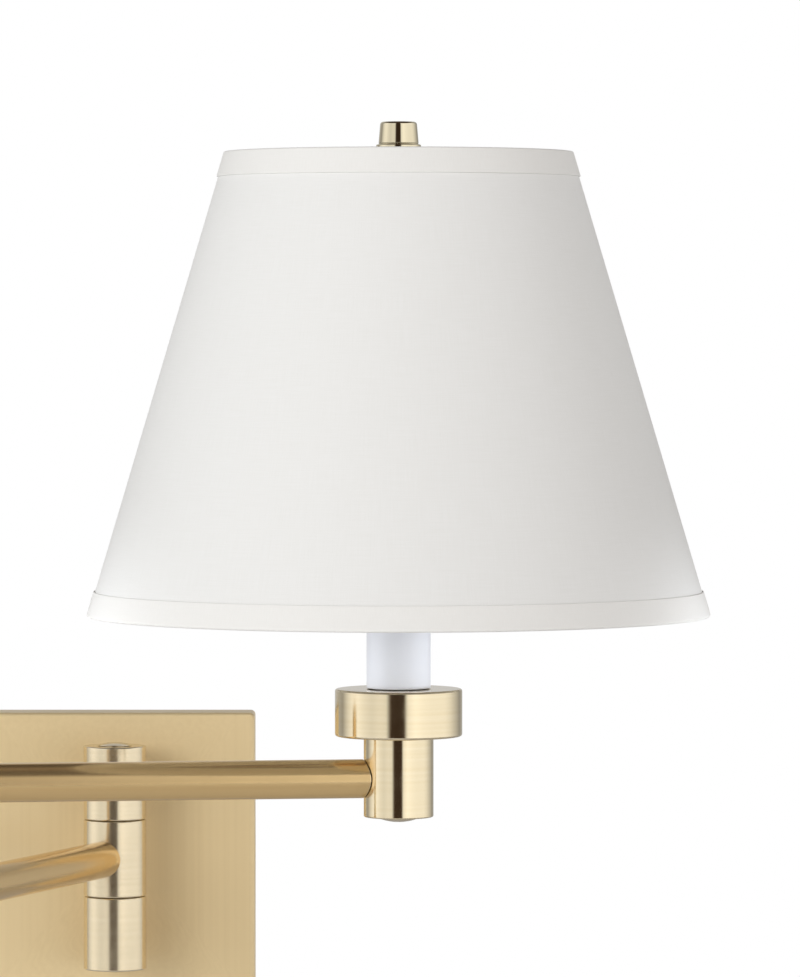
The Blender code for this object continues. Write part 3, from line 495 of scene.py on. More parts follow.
class EffectShelf:
    """Builds each shared effect's node group once and hands it out."""

    def __init__(self) -> None:
        """Start with an empty shelf."""
        self.groups: dict[Effect, bpy.types.NodeTree] = {}

    def place(self, tree: bpy.types.NodeTree, effect: Effect, where: Any, other: Any) -> Any:
        """Place an effect in a material, building its group the first time.

        Args:
            tree: The material's node tree.
            effect: Which effect.
            where: The socket of the position that it reads.
            other: The socket or value of its second input.

        Returns:
            The group node's outputs.
        """
        if effect not in self.groups:
            self.groups[effect] = getattr(self, effect.value)(effect)
        return put(tree, "ShaderNodeGroup", {0: where, 1: other}, node_tree=self.groups[effect]).outputs

    @staticmethod
    def open_group(
        effect: Effect, second: str, kind: str, *gives: str
    ) -> tuple[bpy.types.NodeTree, Any, Any]:
        """A new group with its sockets.

        Args:
            effect: Which effect.
            second: The name of the input that follows the position.
            kind: That input's kind, "Vector" or "Float".
            *gives: Names of the outputs, all numbers.

        Returns:
            The tree, its input node's sockets and its output node's sockets.
        """
        tree = bpy.data.node_groups.new(effect.value, "ShaderNodeTree")
        for name, word in (("Position", "Vector"), (second, kind)):
            tree.interface.new_socket(name=name, in_out="INPUT", socket_type=f"NodeSocket{word}")
        for name in gives:
            tree.interface.new_socket(name=name, in_out="OUTPUT", socket_type="NodeSocketFloat")
        return tree, put(tree, "NodeGroupInput").outputs, put(tree, "NodeGroupOutput").inputs

    def brushed_grain(self, effect: Effect) -> bpy.types.NodeTree:
        """Hairlines: noise stretched along one direction, fine for the lines and coarse for their streaks."""
        tree, given, out = self.open_group(effect, "Stretch", "Vector", "Height", "Streak")
        drawn = stretched(tree, given[0], given[1])
        tree.links.new(noise(tree, drawn, 1.0, detail=3.0), out[0])
        tree.links.new(noise(tree, drawn, 0.16), out[1])
        return tree

    def handling_marks(self, effect: Effect) -> bpy.types.NodeTree:
        """Faint smears: soft bent noise with its upper half drawn out."""
        tree, given, out = self.open_group(effect, "Fineness", "Float", "Mask")
        smear = noise(tree, given[0], given[1], detail=4.0, bent=0.6)
        tree.links.new(spread(tree, smear, (0.42, 0.72), soft=True), out[0])
        return tree

    def edge_wear(self, effect: Effect) -> bpy.types.NodeTree:
        """Rubbed edges: the piece's own wear value, broken up by noise."""
        tree, given, out = self.open_group(effect, "Wear", "Float", "Mask")
        patch = spread(tree, noise(tree, given[0], 260.0, detail=3.0), (0.35, 0.65))
        tree.links.new(maths(tree, "MULTIPLY", patch, given[1]), out[0])
        return tree

    def plain_weave(self, effect: Effect) -> bpy.types.NodeTree:
        """Over-and-under cloth: sin(pi x / pitch) squared in each direction, unevened by slubs along both."""
        tree, given, out = self.open_group(effect, "Pitch", "Float", "Height", "Slub")
        parts = put(tree, "ShaderNodeSeparateXYZ", {0: given[0]}).outputs
        turns = maths(tree, "DIVIDE", math.pi, given[1])
        waves, slubs = [], []
        for lane, stretch in enumerate(((60.0, 1900.0, 1.0), (1900.0, 60.0, 1.0))):
            wave = maths(tree, "SINE", maths(tree, "MULTIPLY", parts[lane], turns))
            waves.append(maths(tree, "POWER", wave, 2.0))
            slubs.append(noise(tree, stretched(tree, given[0], stretch), 1.0))
        slub = maths(tree, "ADD", *slubs)
        raised = maths(tree, "ADD", maths(tree, "ADD", *waves), slub)
        tree.links.new(maths(tree, "MULTIPLY", raised, 0.25), out[0])
        tree.links.new(maths(tree, "MULTIPLY", slub, 0.5), out[1])
        return tree

    def moulded_skin(self, effect: Effect) -> bpy.types.NodeTree:
        """The faint dimpling of a moulded surface, from fine noise."""
        tree, given, out = self.open_group(effect, "Fineness", "Float", "Height")
        tree.links.new(noise(tree, given[0], given[1], detail=5.0), out[0])
        return tree


SHELF = EffectShelf()


# --- Finishes -----------------------------------------------------------------------------------


class Grain(Enum):
    """Which way a metal is brushed: how far its noise is stretched along the piece's own x, y and z."""

    AROUND = (30.0, 30.0, 2600.0)
    LENGTHWISE = (2600.0, 2600.0, 22.0)
    UPRIGHT = (2300.0, 16.0, 2300.0)
    BUFFED = (420.0, 420.0, 420.0)


class Carrier(Enum):
    """What a pattern is measured on: the piece's own frame, or the model's for a plain solid."""

    PIECE = "grain"
    MODEL = "object"

    def position(self, tree: bpy.types.NodeTree) -> bpy.types.NodeSocket:
        """The socket of the position that a pattern reads, in metres."""
        if self is Carrier.PIECE:
            return put(tree, "ShaderNodeAttribute", attribute_name=self.value).outputs["Vector"]
        return put(tree, "ShaderNodeTexCoord").outputs["Object"]


@dataclass(frozen=True)
class Finish:
    """What a piece is made of and how its surface is left."""

    name: str

    def material(self) -> bpy.types.Material:
        """The finish's material, built the first time that it is asked for."""
        made = bpy.data.materials.get(self.name)
        if made is None:
            made = bpy.data.materials.new(self.name)
            made.use_nodes = True
            self.paint(made.node_tree, made.node_tree.nodes["Principled BSDF"])
        return made

    def paint(self, tree: bpy.types.NodeTree, shader: Any) -> None:
        """Wire the finish into a new material; each kind of finish has its own way."""
        raise NotImplementedError


@dataclass(frozen=True)
class MetalFinish(Finish):
    """A brushed, buffed or plated metal."""

    colour: tuple[float, float, float]
    streaked: tuple[float, float, float]
    rubbed: tuple[float, float, float]
    smooth: float
    dull: float
    grain: Grain
    depth: float
    carrier: Carrier = Carrier.PIECE
    metal: float = 1.0
    scatter_way: tuple[float, float, float] | None = None
    scatter: float = 0.96

    def paint(self, tree: bpy.types.NodeTree, shader: Any) -> None:
        """Streaky colour, brighter rubbed edges, smears and hairlines.

        Args:
            tree: The material's node tree.
            shader: Its Principled shader.
        """
        place = self.carrier.position(tree)
        lines, streaks = SHELF.place(tree, Effect.GRAIN, place, self.grain.value)
        colour = blend_colour(tree, spread(tree, streaks, (0.3, 0.7)), self.colour, self.streaked)
        if self.carrier is Carrier.PIECE:
            worn = put(tree, "ShaderNodeAttribute", attribute_name="wear").outputs["Fac"]
            wear = SHELF.place(tree, Effect.WEAR, place, worn)[0]
            colour = blend_colour(tree, wear, colour, self.rubbed)
        smears = maths(tree, "MULTIPLY", SHELF.place(tree, Effect.MARKS, place, 38.0)[0], lines)
        tree.links.new(colour, shader.inputs["Base Color"])
        tree.links.new(spread(tree, smears, target=(self.smooth, self.dull)), shader.inputs["Roughness"])
        tree.links.new(bump(tree, lines, self.depth, 0.00002), shader.inputs["Normal"])
        shader.inputs["Metallic"].default_value = self.metal
        if self.scatter_way is not None:
            shader.inputs["Anisotropic"].default_value = self.scatter
            way = put(tree, "ShaderNodeCombineXYZ", dict(enumerate(self.scatter_way)))
            tree.links.new(way.outputs[0], shader.inputs["Tangent"])


@dataclass(frozen=True)
class MouldedFinish(Finish):
    """A moulded plastic or rubber."""

    colour: tuple[float, float, float]
    shadowed: tuple[float, float, float]
    smooth: float
    dull: float
    fineness: float
    depth: float
    carrier: Carrier = Carrier.PIECE
    glow_through: float = 0.0

    def paint(self, tree: bpy.types.NodeTree, shader: Any) -> None:
        """A slightly uneven colour, a dimpled skin and faint smears.

        Args:
            tree: The material's node tree.
            shader: Its Principled shader.
        """
        place = self.carrier.position(tree)
        skin = SHELF.place(tree, Effect.SKIN, place, self.fineness)[0]
        marks = SHELF.place(tree, Effect.MARKS, place, 22.0)[0]
        tree.links.new(blend_colour(tree, marks, self.colour, self.shadowed), shader.inputs["Base Color"])
        tree.links.new(spread(tree, marks, target=(self.smooth, self.dull)), shader.inputs["Roughness"])
        tree.links.new(bump(tree, skin, self.depth, 0.00003), shader.inputs["Normal"])
        if self.glow_through:
            shader.inputs["Subsurface Weight"].default_value = self.glow_through
            shader.inputs["Subsurface Radius"].default_value = (0.004, 0.004, 0.004)


@dataclass(frozen=True)
class ClothFinish(Finish):
    """A fine plain-woven cloth on a stiff backing."""

    colour: tuple[float, float, float]
    slubbed: tuple[float, float, float]
    pitch: float
    depth: float
    sheen: float = 0.15

    def paint(self, tree: bpy.types.NodeTree, shader: Any) -> None:
        """Threads in the normal, slubs in the colour and a slight sheen.

        Args:
            tree: The material's node tree.
            shader: Its Principled shader.
        """
        cloth = put(tree, "ShaderNodeUVMap", uv_map="cloth").outputs[0]
        threads, slubs = SHELF.place(tree, Effect.WEAVE, cloth, self.pitch)
        marks = SHELF.place(tree, Effect.MARKS, cloth, 9.0)[0]
        colour = blend_colour(tree, spread(tree, slubs, (0.35, 0.65)), self.colour, self.slubbed)
        tree.links.new(colour, shader.inputs["Base Color"])
        tree.links.new(spread(tree, marks, target=(0.82, 0.92)), shader.inputs["Roughness"])
        tree.links.new(bump(tree, threads, self.depth, 0.00006), shader.inputs["Normal"])
        shader.inputs["Sheen Weight"].default_value = self.sheen
        shader.inputs["Sheen Roughness"].default_value = 0.5
        shader.inputs["Specular IOR Level"].default_value = 0.25


@dataclass(frozen=True)
class FrostedFinish(Finish):
    """A lamp glass frosted on its inside."""

    colour: tuple[float, float, float]
    cloudy: tuple[float, float, float]

    def paint(self, tree: bpy.types.NodeTree, shader: Any) -> None:
        """Milky, a little see-through, with a glossy outside and uneven frosting.

        Args:
            tree: The material's node tree.
            shader: Its Principled shader.
        """
        place = Carrier.PIECE.position(tree)
        frost = SHELF.place(tree, Effect.SKIN, place, 900.0)[0]
        cloud = SHELF.place(tree, Effect.MARKS, place, 30.0)[0]
        tree.links.new(blend_colour(tree, cloud, self.colour, self.cloudy), shader.inputs["Base Color"])
        tree.links.new(spread(tree, frost, target=(0.34, 0.48)), shader.inputs["Roughness"])
        shader.inputs["Transmission Weight"].default_value = 0.25
        shader.inputs["Coat Weight"].default_value = 0.6
        shader.inputs["Coat Roughness"].default_value = 0.05


@dataclass(frozen=True)
class FloorFinish(Finish):
    """Pale paper that fades out towards its rim and can't be seen from below."""

    full_to: float
    gone_at: float

    def paint(self, tree: bpy.types.NodeTree, shader: Any) -> None:
        """A matt tooth, and a mask of distance and of the underside that lets the paper vanish.

        Args:
            tree: The material's node tree.
            shader: Its Principled shader.
        """
        place = Carrier.PIECE.position(tree)
        tooth = SHELF.place(tree, Effect.SKIN, place, 320.0)[0]
        tree.links.new(bump(tree, tooth, 0.1, 0.0002), shader.inputs["Normal"])
        shader.inputs["Base Color"].default_value = (0.86, 0.86, 0.86, 1.0)
        shader.inputs["Roughness"].default_value = 0.9
        away = put(tree, "ShaderNodeVectorMath", {0: place}, operation="LENGTH").outputs["Value"]
        under = put(tree, "ShaderNodeNewGeometry").outputs["Backfacing"]
        fade = spread(tree, away, (self.full_to, self.gone_at), soft=True)
        clear = maths(tree, "MAXIMUM", fade, under)
        nothing = put(tree, "ShaderNodeBsdfTransparent").outputs[0]
        mix = put(tree, "ShaderNodeMixShader", {0: clear, 1: shader.outputs[0], 2: nothing})
        tree.links.new(mix.outputs[0], tree.nodes["Material Output"].inputs[0])


PALE = (0.90, 0.78, 0.55)
PALE_STREAK = (0.86, 0.73, 0.49)
GOLD = (0.88, 0.635, 0.315)
GOLD_STREAK = (0.83, 0.585, 0.275)
PLATE = (0.985, 0.785, 0.455)
PLATE_STREAK = (0.95, 0.75, 0.425)
POST = (0.86, 0.74, 0.525)
POST_STREAK = (0.82, 0.695, 0.48)
RUBBED = (0.92, 0.80, 0.58)
ZINC = (0.60, 0.61, 0.63)
ZINC_STREAK = (0.50, 0.51, 0.54)

BRIGHT_TURNED = MetalFinish(
    "bright_turned_brass", PALE, PALE_STREAK, RUBBED, 0.09, 0.20, Grain.AROUND, 0.10
)
SATIN_TURNED = MetalFinish("satin_turned_brass", GOLD, GOLD_STREAK, RUBBED, 0.16, 0.30, Grain.AROUND, 0.12)
SATIN_TUBE = MetalFinish(
    "satin_tube_brass", GOLD, GOLD_STREAK, RUBBED, 0.17, 0.30, Grain.LENGTHWISE, 0.14, metal=0.86
)
POST_TURNED = MetalFinish(
    "satin_post_brass", POST, POST_STREAK, RUBBED, 0.18, 0.30, Grain.AROUND, 0.12, metal=0.9
)
SATIN_PLATE = MetalFinish(
    "brushed_plate_brass",
    PLATE,
    PLATE_STREAK,
    PLATE,
    0.50,
    0.56,
    Grain.UPRIGHT,
    0.22,
    metal=0.35,
    scatter_way=(1.0, 0.0, 0.0),
)
MIRROR_BRASS = MetalFinish(
    "mirror_brass", (0.80, 0.71, 0.51), (0.77, 0.68, 0.48), (0.86, 0.78, 0.58), 0.03, 0.08, Grain.BUFFED, 0.01
)
PLAIN_BRASS = MetalFinish(
    "buffed_brass",
    (0.82, 0.66, 0.38),
    (0.76, 0.60, 0.33),
    RUBBED,
    0.12,
    0.24,
    Grain.BUFFED,
    0.05,
    Carrier.MODEL,
)
WIRE_BRASS = MetalFinish(
    "drawn_brass_wire", (0.84, 0.70, 0.42), (0.78, 0.63, 0.36), RUBBED, 0.14, 0.26, Grain.BUFFED, 0.05
)
ZINC_PLATED = MetalFinish("zinc_plate", ZINC, ZINC_STREAK, (0.8, 0.8, 0.8), 0.28, 0.46, Grain.BUFFED, 0.12)
ZINC_SOLID = replace(ZINC_PLATED, name="zinc_plate_solid", carrier=Carrier.MODEL)
GROUND_GREEN = MetalFinish(
    "green_dyed_screw", (0.05, 0.33, 0.13), (0.04, 0.25, 0.10), (0.4, 0.6, 0.4), 0.28, 0.45, Grain.BUFFED, 0.1
)
NICKEL = MetalFinish(
    "nickel_cap", (0.72, 0.70, 0.66), (0.64, 0.62, 0.58), (0.85, 0.85, 0.85), 0.16, 0.3, Grain.AROUND, 0.1
)
CANDLE_WHITE = MouldedFinish(
    "candle_plastic", (0.86, 0.88, 0.935), (0.84, 0.86, 0.92), 0.30, 0.40, 700.0, 0.06, glow_through=0.25
)
PHENOLIC = MouldedFinish("phenolic", (0.030, 0.028, 0.026), (0.045, 0.04, 0.036), 0.32, 0.5, 900.0, 0.25)
PHENOLIC_SOLID = replace(PHENOLIC, name="phenolic_solid", carrier=Carrier.MODEL)
STYRENE = MouldedFinish("styrene_liner", (0.88, 0.88, 0.86), (0.85, 0.85, 0.82), 0.42, 0.55, 260.0, 0.08)
LEAD_RUBBER = MouldedFinish("lead_sheath", (0.62, 0.62, 0.60), (0.52, 0.52, 0.50), 0.45, 0.6, 800.0, 0.2)
LEAD_SOLID = replace(LEAD_RUBBER, name="lead_sheath_inside", carrier=Carrier.MODEL)
SHADE_CLOTH = ClothFinish("shade_cloth", (0.88, 0.88, 0.865), (0.855, 0.855, 0.835), 0.00042, 0.35)
TRIM_CLOTH = ClothFinish("trim_cloth", (0.90, 0.895, 0.87), (0.875, 0.868, 0.84), 0.00036, 0.35)
FROSTED = FrostedFinish("frosted_lamp_glass", (0.93, 0.93, 0.91), (0.88, 0.88, 0.86))


# --- Putting pieces on the model ----------------------------------------------------------------


def stand_for(piece: bpy.types.Object, node: str, finish: Finish) -> None:
    """Let a fine piece stand for a plain solid: same body, the finish as its material, and the solid hidden.

    Args:
        piece: The fine piece.
        node: The plain solid's name.
        finish: The finish to dress it in.
    """
    piece.data.materials.clear()
    piece.data.materials.append(finish.material())
    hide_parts(node)
    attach(piece, BODY_OF[node])
    LOG.info("%s stands for %s", piece.name, node)


def dress_solid(node: str, finish: Finish) -> None:
    """Give a plain solid, which keeps its shape, a full material.

    Args:
        node: The solid's name.
        finish: The finish to dress it in.
    """
    solid = frame["nodes"][node]
    solid.data.materials.clear()
    solid.data.materials.append(finish.material())
    LOG.info("%s keeps its solid", node)


# --- Wall side ----------------------------------------------------------------------------------


@dataclass
class HexNut:
    """A six-sided lock nut with chamfered corners, where its plain solid lies."""

    node: str
    turn: Matrix
    bore: float
    chamfer: float = 0.0006
    worn_share: float = 0.93
    steps: int = 72

    def build(self) -> None:
        """Rings whose radius is the hexagon's, apothem / cos(angle from the flat), capped near each end."""
        box = extent(self.node)
        size = box.high - box.low
        lying = self.turn is OUTWARD
        height, other = (size.y, size.z) if lying else (size.z, size.y)
        circle = max(size.x, other) / 2
        angle = round_angles(self.steps)
        sixth = np.pi / 3
        shifted = angle if size.x >= other else angle + sixth / 2
        hexagon = circle * math.cos(sixth / 2) / np.cos((shifted % sixth) - sixth / 2)
        tip = np.minimum(hexagon, circle * self.worn_share)
        bore = np.full(self.steps, self.bore)
        reach = np.array([bore, tip, hexagon, hexagon, tip, bore])
        up = np.array([height, height, height - self.chamfer, self.chamfer, 0.0, 0.0])
        rings = ringed(reach, angle, up)
        base = Vector((box.centre.x, box.high.y, box.centre.z)) if lying else box.foot
        nut = ringed_piece(f"{self.node}_hex", rings, True, standing(base, self.turn))
        stand_for(nut, self.node, ZINC_PLATED)


@dataclass
class WallPlate:
    """The square pan on the wall, with its bracket, screws and stems."""

    wall: float = 0.0015
    edge_rounding: float = 0.0021
    corner_rounding: float = 0.0026
    rim_rounding: float = 0.0003
    corner_points: int = 8
    drill_reach: float = 0.01
    stem_hole_end: float = -0.012
    lock_head: float = 0.0028
    lock_shank: float = 0.0018
    knurls: int = 24
    knurl_depth: float = 0.035
    ground_head: float = 0.0022
    ground_shank: float = 0.0018
    stem_bore: float = 0.0040
    nut_clearance: float = 0.0003

    def rectangle(self, half: Vector, inset: float) -> np.ndarray:
        """Points anticlockwise round a rectangle with round corners, moved in by an inset.

        Each corner is a quarter circle about a centre that stays put while the inset is smaller than the
        rounding; beyond that the corner shrinks to a point on its diagonal.

        Args:
            half: Half the width and half the height.
            inset: How far in from the outer edge.

        Returns:
            Rows of x and y.
        """
        radius = max(self.corner_rounding - inset, 0.0)
        middle = np.maximum(np.array(half) - max(self.corner_rounding, inset), 0.0)
        sweep = np.linspace(0.0, np.pi / 2, self.corner_points)
        runs = []
        for quarter, sides in enumerate(((1, 1), (-1, 1), (-1, -1), (1, -1))):
            angle = sweep + quarter * np.pi / 2
            arc = np.stack([np.cos(angle), np.sin(angle)], axis=-1) * radius
            runs.append(arc + middle * np.array(sides))
        return np.vstack(runs)

    def build_pan(self) -> None:
        """The pan: a section from the front's middle, over the rounded edge to the wall and back inside.

        Ring i is the rounded rectangle at the section's inset i and height i, and the front is its pole.
        """
        box = extent("backplate")
        half = Vector((box.high.x - box.low.x, box.high.z - box.low.z)) / 2
        depth = box.high.y - box.low.y
        section = [
            Corner(-half.x, depth),
            Corner(0.0, depth, self.edge_rounding),
            Corner(0.0, 0.0, self.rim_rounding),
            Corner(-self.wall, 0.0, self.rim_rounding),
            Corner(-self.wall, depth - self.wall, self.edge_rounding / 2),
            Corner(-half.x, depth - self.wall),
        ]
        outline, wear = rounded_outline(section, closed=False)
        rings = []
        for across, height in outline:
            at_pole = -across >= half.x * 0.99
            flat = np.zeros((4 * self.corner_points, 2)) if at_pole else self.rectangle(half, -across)
            rings.append(np.column_stack([flat, np.full(len(flat), height)]))
        centre = Vector((box.centre.x, box.high.y, box.centre.z))
        pan = ringed_piece("backplate_pan", np.array(rings), False, standing(centre, OUTWARD), wear)
        for word in ("upper", "lower"):
            stem = extent(f"stem_{word}").centre
            start = Vector((stem.x, box.low.y - self.drill_reach, stem.z))
            drill(pan, start, Vector((stem.x, self.stem_hole_end, stem.z)), STEM_HOLE)
        for word in ("left", "right"):
            screw = extent(f"lock_screw_{word}").centre
            below, above = box.low.z - self.drill_reach, box.low.z + self.drill_reach
            drill(pan, Vector((screw.x, screw.y, below)), Vector((screw.x, screw.y, above)), SCREW_HOLE)
        stand_for(pan, "backplate", SATIN_PLATE)

    def build_lock_screw(self, node: str) -> None:
        """A small knurled screw in the plate's lower edge: the head's radius ripples round it.

        Args:
            node: The plain solid's name.
        """
        box = extent(node)
        top = box.high.z - box.low.z
        corners = [
            Corner(0.0, top),
            Corner(self.lock_shank, top, 0.0003),
            Corner(self.lock_shank, self.lock_head),
            Corner(box.radius, self.lock_head, 0.0003),
            Corner(box.radius, 0.0, 0.0008),
            Corner(0.0, 0.0),
        ]
        outline, wear = rounded_outline(corners, closed=False)
        rings = turned_rings(outline, ROUND_STEPS)
        ridge = 0.5 + 0.5 * np.cos(self.knurls * round_angles(ROUND_STEPS))
        on_head = (outline[:, 0] > 0.9 * box.radius)[:, None]
        rings[..., :2] *= np.where(on_head, 1 - self.knurl_depth * ridge, 1.0)[..., None]
        stand_for(ringed_piece(f"{node}_knurled", rings, False, standing(box.foot), wear), node, SATIN_TURNED)

    def build_ground_screw(self) -> None:
        """The green screw on the bracket: a domed head with a washer face, and a shank."""
        box = extent("ground_screw")
        crown = box.high.y - box.low.y
        corners = [
            Corner(0.0, crown),
            Corner(0.0024, crown - 0.0002, 0.0006),
            Corner(0.0030, crown - 0.0010),
            Corner(box.radius, crown - 0.0011, 0.0004),
            Corner(box.radius, crown - self.ground_head),
            Corner(self.ground_shank, crown - self.ground_head),
            Corner(self.ground_shank, 0.0),
            Corner(0.0, 0.0),
        ]
        base = Vector((box.centre.x, box.high.y, box.centre.z))
        screw = turned_piece("ground_screw_head", corners, standing(base, OUTWARD), steps=48)
        stand_for(screw, "ground_screw", GROUND_GREEN)

    def build_stem(self, word: str) -> None:
        """A short pipe that carries the post, with a lock nut inside the pan.

        Args:
            word: "upper" or "lower".
        """
        box = extent(f"stem_{word}")
        length = box.high.y - box.low.y
        corners = [
            Corner(self.stem_bore, length),
            Corner(box.radius, length, 0.0003),
            Corner(box.radius, 0.0, 0.0003),
            Corner(self.stem_bore, 0.0),
        ]
        place = standing(Vector((box.centre.x, box.high.y, box.centre.z)), OUTWARD)
        stem = turned_piece(f"stem_{word}_turned", corners, place, closed=True)
        stand_for(stem, f"stem_{word}", SATIN_TURNED)
        HexNut(f"stem_nut_{word}", OUTWARD, box.radius + self.nut_clearance).build()

    def build(self) -> None:
        """Build and dress everything on the wall side."""
        self.build_pan()
        for word in ("left", "right"):
            self.build_lock_screw(f"lock_screw_{word}")
        self.build_ground_screw()
        for word in ("upper", "lower"):
            self.build_stem(word)
        dress_solid("wall_bracket", ZINC_SOLID)


# --- Barrels, caps and arms ---------------------------------------------------------------------


@dataclass
class Barrel:
    """A hollow knuckle with an end wall at each end."""

    node: str
    low_hole: float
    high_hole: float
    finish: MetalFinish
    side_hole: tuple[Vector, float] | None = None
    skin: float = 0.0035
    end_wall: float = 0.003
    rounding: float = 0.0007
    drill_from: float = 1.3
    drill_to: float = 0.6

    def build(self) -> None:
        """Turn the knuckle: its skin outside, and up the holes and the cavity inside, then drill its side."""
        box = extent(self.node)
        bottom, top, radius = box.low.z, box.high.z, box.radius
        cavity = radius - self.skin
        corners = [
            Corner(self.high_hole, top),
            Corner(radius, top, self.rounding),
            Corner(radius, bottom, self.rounding),
            Corner(self.low_hole, bottom),
            Corner(self.low_hole, bottom + self.end_wall),
            Corner(cavity, bottom + self.end_wall),
            Corner(cavity, top - self.end_wall),
            Corner(self.high_hole, top - self.end_wall),
        ]
        barrel = turned_piece(f"{self.node}_turned", corners, standing(box.axis), closed=True, steps=128)
        if self.side_hole is not None:
            towards, hole = self.side_hole
            inside = box.axis + Vector((0.0, 0.0, towards.z))
            way = (towards - inside).normalized()
            outside, within = radius * self.drill_from, cavity * self.drill_to
            drill(barrel, inside + way * outside, inside + way * within, hole)
        stand_for(barrel, self.node, self.finish)


@dataclass
class DomedCap:
    """A shallow domed cap on a plug."""

    node: str
    hangs: bool
    finish: MetalFinish
    plug: float = 0.0060
    plug_depth: float = 0.0025
    seat_gap: float = 0.0003
    lip: float = 0.0002
    chords: int = 14

    def build(self) -> None:
        """Turn the cap: a circular arc over the top, a thin lip, and the plug under it.

        The arc's radius is (r*r + h*h) / 2h for a cap of radius r that rises h.
        """
        box = extent(self.node)
        radius = box.radius
        rise = box.high.z - box.low.z - self.plug_depth - self.seat_gap - self.lip
        sphere = (radius**2 + rise**2) / (2 * rise)
        angle = np.linspace(0.0, math.asin(radius / sphere), self.chords)
        seat = self.plug_depth + self.seat_gap
        crown = seat + self.lip + rise
        dome = np.column_stack([sphere * np.sin(angle), crown - sphere * (1 - np.cos(angle))])
        outline = np.vstack([dome, [(radius, seat), (self.plug, seat), (self.plug, 0.0), (0.0, 0.0)]])
        wear = np.zeros(len(outline))
        wear[self.chords - 2 : self.chords + 1] = 1.0
        foot = box.axis + Vector((0.0, 0.0, box.high.z if self.hangs else box.low.z))
        place = standing(foot, HANGING if self.hangs else UPRIGHT)
        cap = ringed_piece(f"{self.node}_domed", turned_rings(outline, ROUND_STEPS), False, place, wear)
        stand_for(cap, self.node, self.finish)


@dataclass
class ArmTube:
    """A straight tube between two upright barrels, with ends shaped to sit against them."""

    node: str
    start: str
    end: str
    height: float
    radius: float = 0.00975
    wall: float = 0.0015
    gap: float = 0.0003
    lip: float = 0.00045
    steps: int = ROUND_STEPS

    def build(self) -> None:
        """Rings along the tube whose ends follow the barrels.

        At angle a round the tube, a point at distance q from its axis is q cos a to the side, so its end lies
        sqrt(R*R - (q cos a)^2) from the axis of a barrel of radius R. The rim is rolled over by its lip.
        """
        first, last = extent(self.start), extent(self.end)
        foot, head = first.axis, last.axis
        along = (head - foot).normalized()
        length = (head - foot).length
        up = Vector((0.0, 0.0, 1.0))
        side = up.cross(along)
        place = Matrix.Identity(4)
        for column, way in enumerate((side, up, along)):
            place.col[column][:3] = way
        place = Matrix.Translation(foot + up * self.height) @ place
        # The rings run from the near end outwards, so the columns run clockwise to keep the faces outwards.
        angle = -round_angles(self.steps)
        inner = self.radius - self.wall
        roll = np.radians([0.0, 30.0, 60.0, 90.0])
        mouth = [(inner, self.lip * 0.5)]
        mouth += [(self.radius - self.lip * (1 - math.sin(a)), self.lip * (1 - math.cos(a))) for a in roll]
        mouth.append((self.radius, self.lip * 1.6))

        def station(reach: float, inwards: float, far: bool) -> np.ndarray:
            """One ring, this far in from the near or the far barrel's face."""
            barrel = (last if far else first).radius + self.gap
            hug = np.sqrt(barrel**2 - (reach * np.cos(angle)) ** 2) + inwards
            along_it = length - hug if far else hug
            return np.column_stack([reach * np.cos(angle), reach * np.sin(angle), along_it])

        near_end = [station(reach, inwards, far=False) for reach, inwards in mouth]
        far_end = [station(reach, inwards, far=True) for reach, inwards in mouth[::-1]]
        rings = np.array([*near_end, *far_end])
        wear = np.array([0, 1, 1, 1, 1, 0, 0, 1, 1, 1, 1, 0], dtype=float)
        tube = ringed_piece(f"{self.node}_drawn", rings, True, place, wear)
        stand_for(tube, self.node, SATIN_TUBE)


